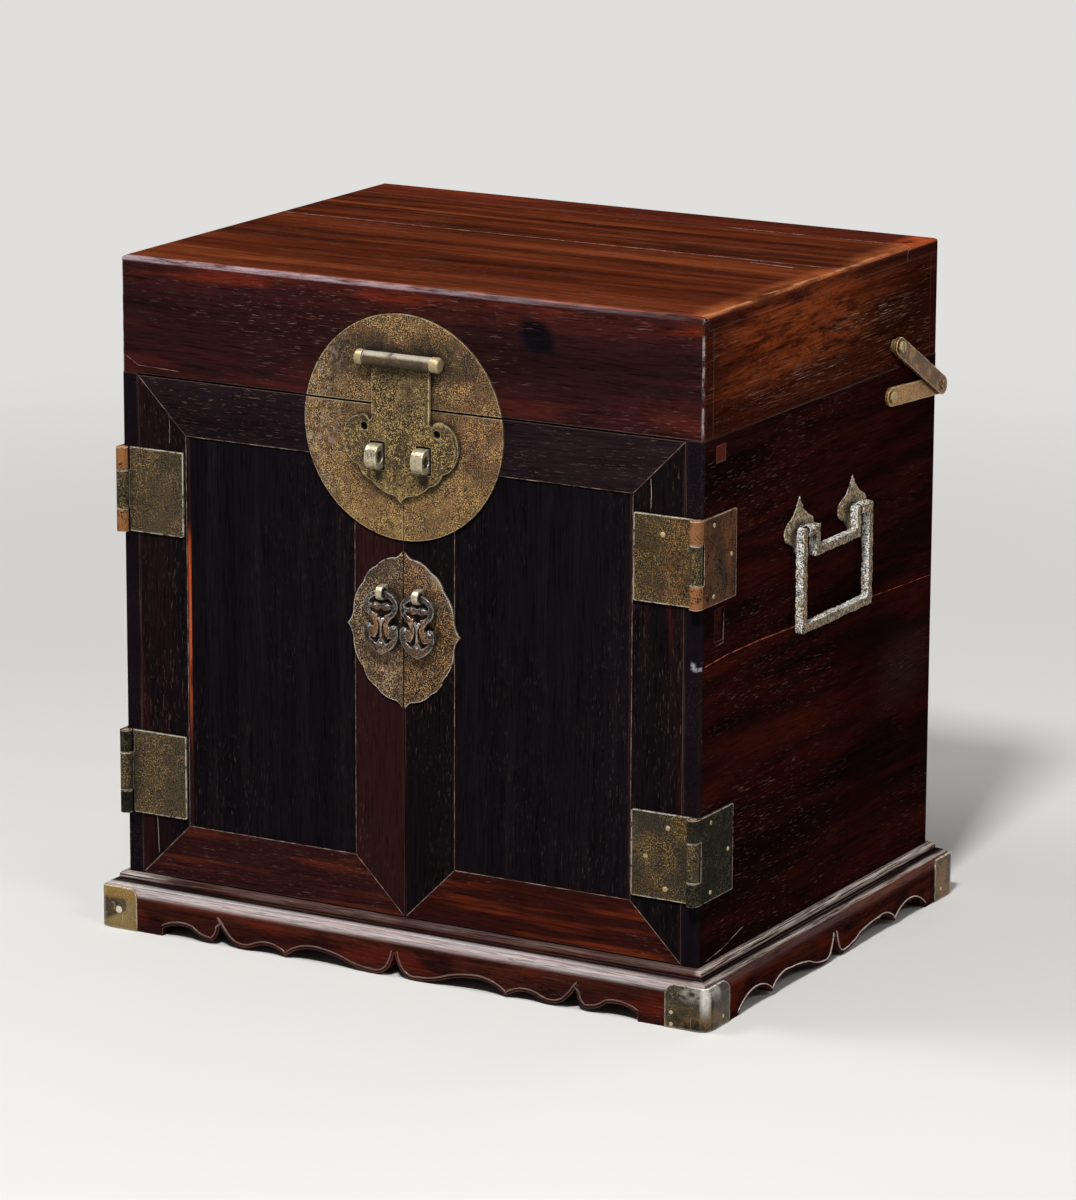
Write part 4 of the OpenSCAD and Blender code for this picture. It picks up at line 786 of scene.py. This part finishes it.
# Nail heads that show on the front leaves of the right-hand hinges: distance out from the middle, and height
LEAF_NAILS = [(148.6, 248.7), (153, 99.7), (140.5, 83.7), (151.7, 67.9)]


def hinge_nails():
    """Nail heads in the leaves of the door hinges; the left-hand front leaves show none."""
    material = brass("nail_brass", (158, 138, 96), (100, 80, 52), (222, 206, 166), 110, speck=0.3, rough=0.34)
    front_face = span("right_door_leaves", 1)[1] - 1.2
    door = bmesh.new()
    for out_x, height in LEAF_NAILS:
        add_dome(door, (out_x, front_face, height), FRONT, 1.4, NAIL_H, NAIL)
    make_piece("right_door_nails", door, material, "right_door")
    case = bmesh.new()
    for sign in (-1, 1):
        for middle in HINGE_ZS:
            for behind, rise in ((12.5, 18), (31, 0), (12.5, -18)):
                add_dome(case, (sign * LEAF_X, HINGE_Y + behind, middle + rise), (sign, 0, 0), 1.2, NAIL_H, NAIL)
    make_piece("case_nails", case, material, "carcase")


STEM = [(-0.8, -23), (0.8, -23), (0.55, -19.2), (0.8, -16.2), (2.3, -13.6), (1.6, -12.8), (0, -14.6), (-1.6, -12.8),
        (-2.3, -13.6), (-0.8, -16.2), (-0.55, -19.2)]


def pendant_stem(side, material):
    """Forked stem in the middle of a pendant, between its two straps."""
    node = side + "_pendant"
    pivot_z = span(node, 2)[1] - 1.45
    middle = sum(span(node, 0)) / 2
    front, back = span(node, 1)[0] + 1.0, span(node, 1)[1] - 0.4
    build = bmesh.new()
    skin(build, [[build.verts.new(((middle + x * slim) * MM, y * MM, (pivot_z + z) * MM)) for x, z in STEM]
                 for y, slim in ((back, 1.0), (front + 0.5, 1.0), (front, 0.45))])
    bmesh.ops.recalc_face_normals(build, faces=build.faces[:])
    make_piece(node + "_stem", build, material, node, False)


# Cracks in the door stiles: x and z of their points, width and seed
STILE_CRACKS = {
    "left": [([(-141.2, 277.7), (-140.8, 270), (-141.1, 261.5)], 0.4, 11),
             ([(-151.5, 63.4), (-150.9, 52), (-150.6, 41.2)], 0.4, 12)],
    "right": [([(140.9, 276), (141.3, 268), (141.0, 259)], 0.45, 13)]}


def joint_lines():
    """Pale hairlines in the joints of the doors, with the cracks in their stiles."""
    height = 0.05
    low_z, high_z = span("left_door_stiles", 2)
    for side, sign in zip(SIDES, (-1, 1)):
        x_low, x_high = sorted(abs(x) for x in span(side + "_door_stiles", 0))
        rows = []
        corners = {}
        for name, x, step in (("inner", x_low, 1), ("outer", x_high, -1)):
            for level, z, rise in (("low", low_z, 1), ("high", high_z, -1)):
                corner = (sign * x, FRONT_Y, z)
                inside = (sign * (x + step * FRAME_W), FRONT_Y, z + rise * FRAME_W)
                corners[name + " " + level] = inside
                # the mitre at the left door's upper outer corner shows along part of its length only
                share = 0.57 if (side, name, level) == ("left", "outer", "high") else 1
                last = [start + share * (end - start) for start, end in zip(corner, inside)]
                rows.append(([corner, last], FRONT, 0.34, height, len(name) + z, 0.45))
        for first, last, seed in (("inner low", "outer low", 3), ("inner high", "outer high", 5),
                                  ("outer low", "outer high", 7), ("inner low", "inner high", 9)):
            rows.append(([corners[first], corners[last]], FRONT, 0.3, height, seed + sign, 0.75))
        for spots, width, seed in STILE_CRACKS[side]:
            rows.append(([(x, FRONT_Y, z) for x, z in spots], FRONT, width, height, seed, 0.2))
        make_lines(side + "_door_lines", PALE_LINE, side + "_door", rows)


def lid_lines():
    """Filler in the lid's glue line and the hairline crack in its front."""
    front_board = 148
    seam_y = span("lid_front", 1)[0] + 4 + front_board + 0.1
    rear = span("lid_top_boards", 1)[1]
    radius = 9
    bend = [(SIDE_X - radius + radius * sin(a), rear - radius + radius * cos(a), TOP_Z)
            for a in [radians(10 * i) for i in range(8)]]
    make_lines("lid_lines", PALE_LINE, "lid", [
        ([(LEFT_X + 4, seam_y, TOP_Z), (SIDE_X - 4, seam_y, TOP_Z)], TOP, 0.5, 0.04, 21, 0.35),
        ([(118, 15.8, TOP_Z), (145, 12.6, TOP_Z)], TOP, 1.1, 0.04, 22, 0.7),
        ([(-167.2, FRONT_Y, 306), (-159.9, FRONT_Y, 301.6), (-134, FRONT_Y, 300.6)], FRONT, 0.35, 0.04, 23, 0.3),
        ([(60, rear, TOP_Z), *bend], TOP, 0.5, 0.04, 24, 0.6)])
    make_lines("lid_chip", RED_LINE, "lid", [
        ([(SIDE_X - 9, seam_y + 0.6, TOP_Z), (SIDE_X - 3.2, seam_y + 0.9, TOP_Z)], TOP, 1.6, 0.06, 25, 0.2),
        ([(SIDE_X, seam_y + 1, TOP_Z - 3), (SIDE_X, seam_y + 1.4, TOP_Z - 7.5)], RIGHT, 0.9, 0.06, 26, 0.4)])


def case_lines():
    """Seam of the right side board, the split at its lower front corner, and the lines by its tenon."""
    def on_side(*spots):
        return [(SIDE_X, y, z) for y, z in spots]

    make_lines("side_seam", RED_LINE, "carcase", [
        (on_side((-127.5, 183.2), (-102, 184.6), (-70, 184.4), (-24, 182.8)), RIGHT, 0.8, 0.05, 31, 0.5),
        (on_side((24, 181.4), (128, 177.2)), RIGHT, 0.45, 0.05, 32, 0.8)])
    make_lines("side_lines", PALE_LINE, "carcase", [
        (on_side((-124, 30.5), (-106, 32.5), (-82, 38.6)), RIGHT, 0.5, 0.05, 33, 0.6),
        (on_side((FRONT_Y + 14.5, 191.5), (FRONT_Y + 22.5, 191.8), (FRONT_Y + 22.9, 207)), RIGHT, 0.35, 0.05, 34, 0.5)])


def hardware_marks():
    """Rivet mark on the hasp, and the stay screw's slotted head in two halves."""
    mark = bmesh.new()
    add_dome(mark, (0, -134.4, 303.5), FRONT, 2.7, 0.22, RIVET_MARK, 28)
    make_piece("hasp_rivet", mark, brass("rivet_brass", (84, 70, 48), (50, 40, 28), (130, 110, 72), 120),
               "hasp")
    head = bmesh.new()
    centre = Vector((span("stay_lid_screw", 0)[1], 78.3, sum(span("stay_lid_screw", 2)) / 2))
    slot_half, reach, tall = 0.45, 2.9, 0.45
    lean_cos, lean_sin = cos(radians(12)), sin(radians(12))
    angles = [radians(-78 + 156 * i / 12) for i in range(13)]
    for side in (-1, 1):
        rim = [(side * max(slot_half, reach * cos(angle)), reach * sin(angle)) for angle in angles]
        leaning = [(y * lean_cos - z * lean_sin, y * lean_sin + z * lean_cos) for y, z in rim]
        skin(head, [[head.verts.new((centre + Vector((level, y, z))) * MM) for y, z in leaning]
                    for level in (-0.2, tall)])
    bmesh.ops.recalc_face_normals(head, faces=head.faces[:])
    make_piece("stay_screw_head", head, nodes["stay_lid_screw"].data.materials[0], "lid", False)


# Carved line that follows the plinth's cusped edge

def arc(first, last, bulge, steps=7):
    """Points from first to last along an arc, without last; bulge is the tangent of a quarter of its angle."""
    if abs(bulge) < 0.001:
        return [first]
    step = last - first
    turn = 4 * atan(bulge)
    radius = step.length / 2 / sin(turn / 2)
    side = Vector((-step.y, step.x)).normalized()
    centre = (first + last) / 2 + side * radius * cos(turn / 2)
    start = atan2(first.y - centre.y, first.x - centre.x)
    angles = [start + turn * i / steps for i in range(steps)]
    return [centre + abs(radius) * Vector((cos(angle), sin(angle))) for angle in angles]


# Corners of the lower edge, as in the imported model: share of the half span, share of the cusps' height, and bulge
CUSP_H = 15
FRONT_EDGE = [(1, 0.27, 0.2), (0.873, 0.44, -0.2), (0.782, 0.147, -0.35), (0.757, 0.933, -0.12),
              (0.697, 0.227, -0.24), (0.605, 0.187, 0.3), (0.464, 0.067, 0.2), (0.33, 0.48, 0.06),
              (0.218, 0.293, -0.1), (0.099, 0.06, -0.3), (0.024, 0.333, -0.1), (0, 0.933, 0)]
END_EDGE = [(1, 0.04, 0.1), (0.898, 0.493, 0.26), (0.655, 0.147, 0.26), (0.469, 0.533, 0.05),
            (0.274, 0.373, -0.1), (0.102, 0.08, -0.35), (0.03, 0.4, -0.1), (0, 1, 0)]
LINE_LIFT = 1.7


def edge_path(half_span, corners):
    """One half of the lower edge, from its foot to the middle, lifted off the edge by the line's distance."""
    spots = [Vector((share * half_span, level * CUSP_H)) for share, level, _ in corners]
    path = []
    for (_, _, bulge), first, last in zip(corners, spots, spots[1:]):
        path += arc(first, last, bulge)
    path.append(spots[-1])
    lifted = []
    for i, spot in enumerate(path):
        ahead = ahead_of(path, i)
        up = Vector((ahead.y, -ahead.x)).normalized()
        lifted.append(spot + LINE_LIFT * (-up if up.y < 0 else up))
    return lifted


def carved_lines():
    # the pale tones, and the paler lines on the ends, are a painted highlight along the raised line
    material = wood("carved_line_highlight", X_GRAIN, ((44, 25, 22), (96, 64, 56), (176, 150, 142)), 43, flecks=0.2,
                    polish=1.0, polished=lambda s: 1.0,
                    zones=[(area(out=(PLINTH_X - 1, PLINTH_X - 0.5)), (178, 164, 158), 0.8)])
    front_path = edge_path(PLINTH_X - 39, FRONT_EDGE)
    end_path = edge_path(-PLINTH_Y - 34, END_EDGE)
    ways = [(mirror, face) for mirror in (-1, 1) for face in (-1, 1)]
    rows = [([(mirror * spot.x, face * -PLINTH_Y, spot.y) for spot in front_path], (0, face, 0), 1.1, 0.55,
             41 + mirror, 0.3) for mirror, face in ways]
    rows += [([(face * PLINTH_X, mirror * spot.x, spot.y) for spot in end_path], (face, 0, 0), 0.75, 0.55,
              41 + mirror, 0.3) for mirror, face in ways]
    make_lines("plinth_carved_lines", material, "carcase", rows)


cast_pieces()
hinge_nails()
joint_lines()
lid_lines()
case_lines()
hardware_marks()
carved_lines()


# Stage, lights and camera

BACKDROP = (224, 223, 221)


def picture_rays(tree):
    """1 for the rays that show a surface directly, in a polished piece or through glass, and 0 for its light."""
    rays = tree.nodes.new("ShaderNodeLightPath").outputs
    shown = rays["Is Camera Ray"]
    for ray in ("Is Glossy Ray", "Is Transmission Ray"):
        joined = tree.nodes.new("ShaderNodeMath")
        joined.operation = "MAXIMUM"
        tree.links.new(shown, joined.inputs[0])
        tree.links.new(rays[ray], joined.inputs[1])
        shown = joined.outputs[0]
    return shown


def make_stage():
    """Floor that keeps the shadow near the chest and turns into the even backdrop farther off."""
    floor = bpy.data.meshes.new("floor")
    reach_m, near_m, far_m = 30, 0.4, 1.6
    floor.from_pydata([(x * reach_m, y * reach_m, 0) for x, y in ((-1, -1), (1, -1), (1, 1), (-1, 1))],
                      [], [(0, 1, 2, 3)])
    s = Shader("floor_paint")
    colour = s.blend((206, 204, 201), (200, 198, 195), s.noise(3, 1, 3.0))
    floor.materials.append(s.finish(colour, 0.7, s.bump(s.noise(500, 2), 0.05, 0.2), Specular_IOR_Level=0.2))
    from_middle = s.node("VectorMath", {0: s.place}, operation="LENGTH").outputs["Value"]
    paper = s.node("Emission", {"Color": BACKDROP})
    farther = s.times(s.ramp_up(from_middle, near_m, far_m), picture_rays(s.tree))
    mixed = s.node("MixShader", {0: farther, 1: s.bsdf.outputs[0], 2: paper.outputs[0]})
    s.link(mixed.outputs[0], s.output.inputs[0])
    placed("floor", floor)


def make_world():
    world = bpy.data.worlds.new("studio")
    bpy.context.scene.world = world
    world.use_nodes = True
    tree = world.node_tree
    tree.nodes.clear()
    mixed = tree.nodes.new("ShaderNodeMixShader")
    tree.links.new(picture_rays(tree), mixed.inputs[0])
    for i, (colour, strength) in enumerate((((1, 0.985, 0.97, 1), 0.12), (seen(*BACKDROP), 1.0))):
        light = tree.nodes.new("ShaderNodeBackground")
        light.inputs[0].default_value = colour
        light.inputs[1].default_value = strength
        tree.links.new(light.outputs[0], mixed.inputs[1 + i])
    tree.links.new(mixed.outputs[0], tree.nodes.new("ShaderNodeOutputWorld").inputs[0])


def make_lamp(name, place, size, power):
    """Area light that looks at the chest's middle. Place and size are in metres."""
    lamp = bpy.data.lights.new(name, "AREA")
    lamp.shape = "RECTANGLE"
    lamp.size, lamp.size_y = size
    lamp.energy = power
    holder = placed(name, lamp)
    holder.location = place
    aim = Vector((0, 0, 0.18)) - Vector(place)
    holder.rotation_euler = aim.to_track_quat("-Z", "Y").to_euler()


def make_camera():
    """The photograph's camera, fitted to the case's edges in its 1076 by 1200 frame."""
    photo_w, photo_h = 1076, 1200
    focal_px, centre_px = 5542.3, (509.06, 576.42)
    place_m = (1.40205, -2.46192, 0.86667)
    yaw, pitch, roll = radians(29.91), radians(13.587), radians(0.15)
    ahead = Vector((-sin(yaw) * cos(pitch), cos(yaw) * cos(pitch), -sin(pitch)))
    level = Vector((cos(yaw), sin(yaw), 0))
    right = cos(roll) * level + sin(roll) * level.cross(ahead)
    up = right.cross(ahead)
    data = bpy.data.cameras.new("camera")
    data.sensor_width = 36
    data.lens = focal_px * data.sensor_width / photo_h
    data.shift_x = (photo_w / 2 - centre_px[0]) / photo_h
    data.shift_y = (centre_px[1] - photo_h / 2) / photo_h
    data.clip_end = 100
    camera = placed("camera", data)
    turn = Matrix((right, up, -ahead)).transposed().to_4x4()
    camera.matrix_world = Matrix.Translation(place_m) @ turn
    bpy.context.scene.camera = camera


make_stage()
make_world()
make_lamp("key", (0.45, -1.35, 2.0), (0.3, 0.3), 58)
make_lamp("sheen", (-1.05, -0.5, 1.75), (0.7, 0.7), 16)
make_lamp("rear", (0.5, 1.9, 1.1), (1.4, 0.7), 10)
make_lamp("side", (1.9, -0.9, 1.6), (0.5, 0.5), 10)
make_camera()
bpy.context.scene.view_settings.view_transform = "Standard"
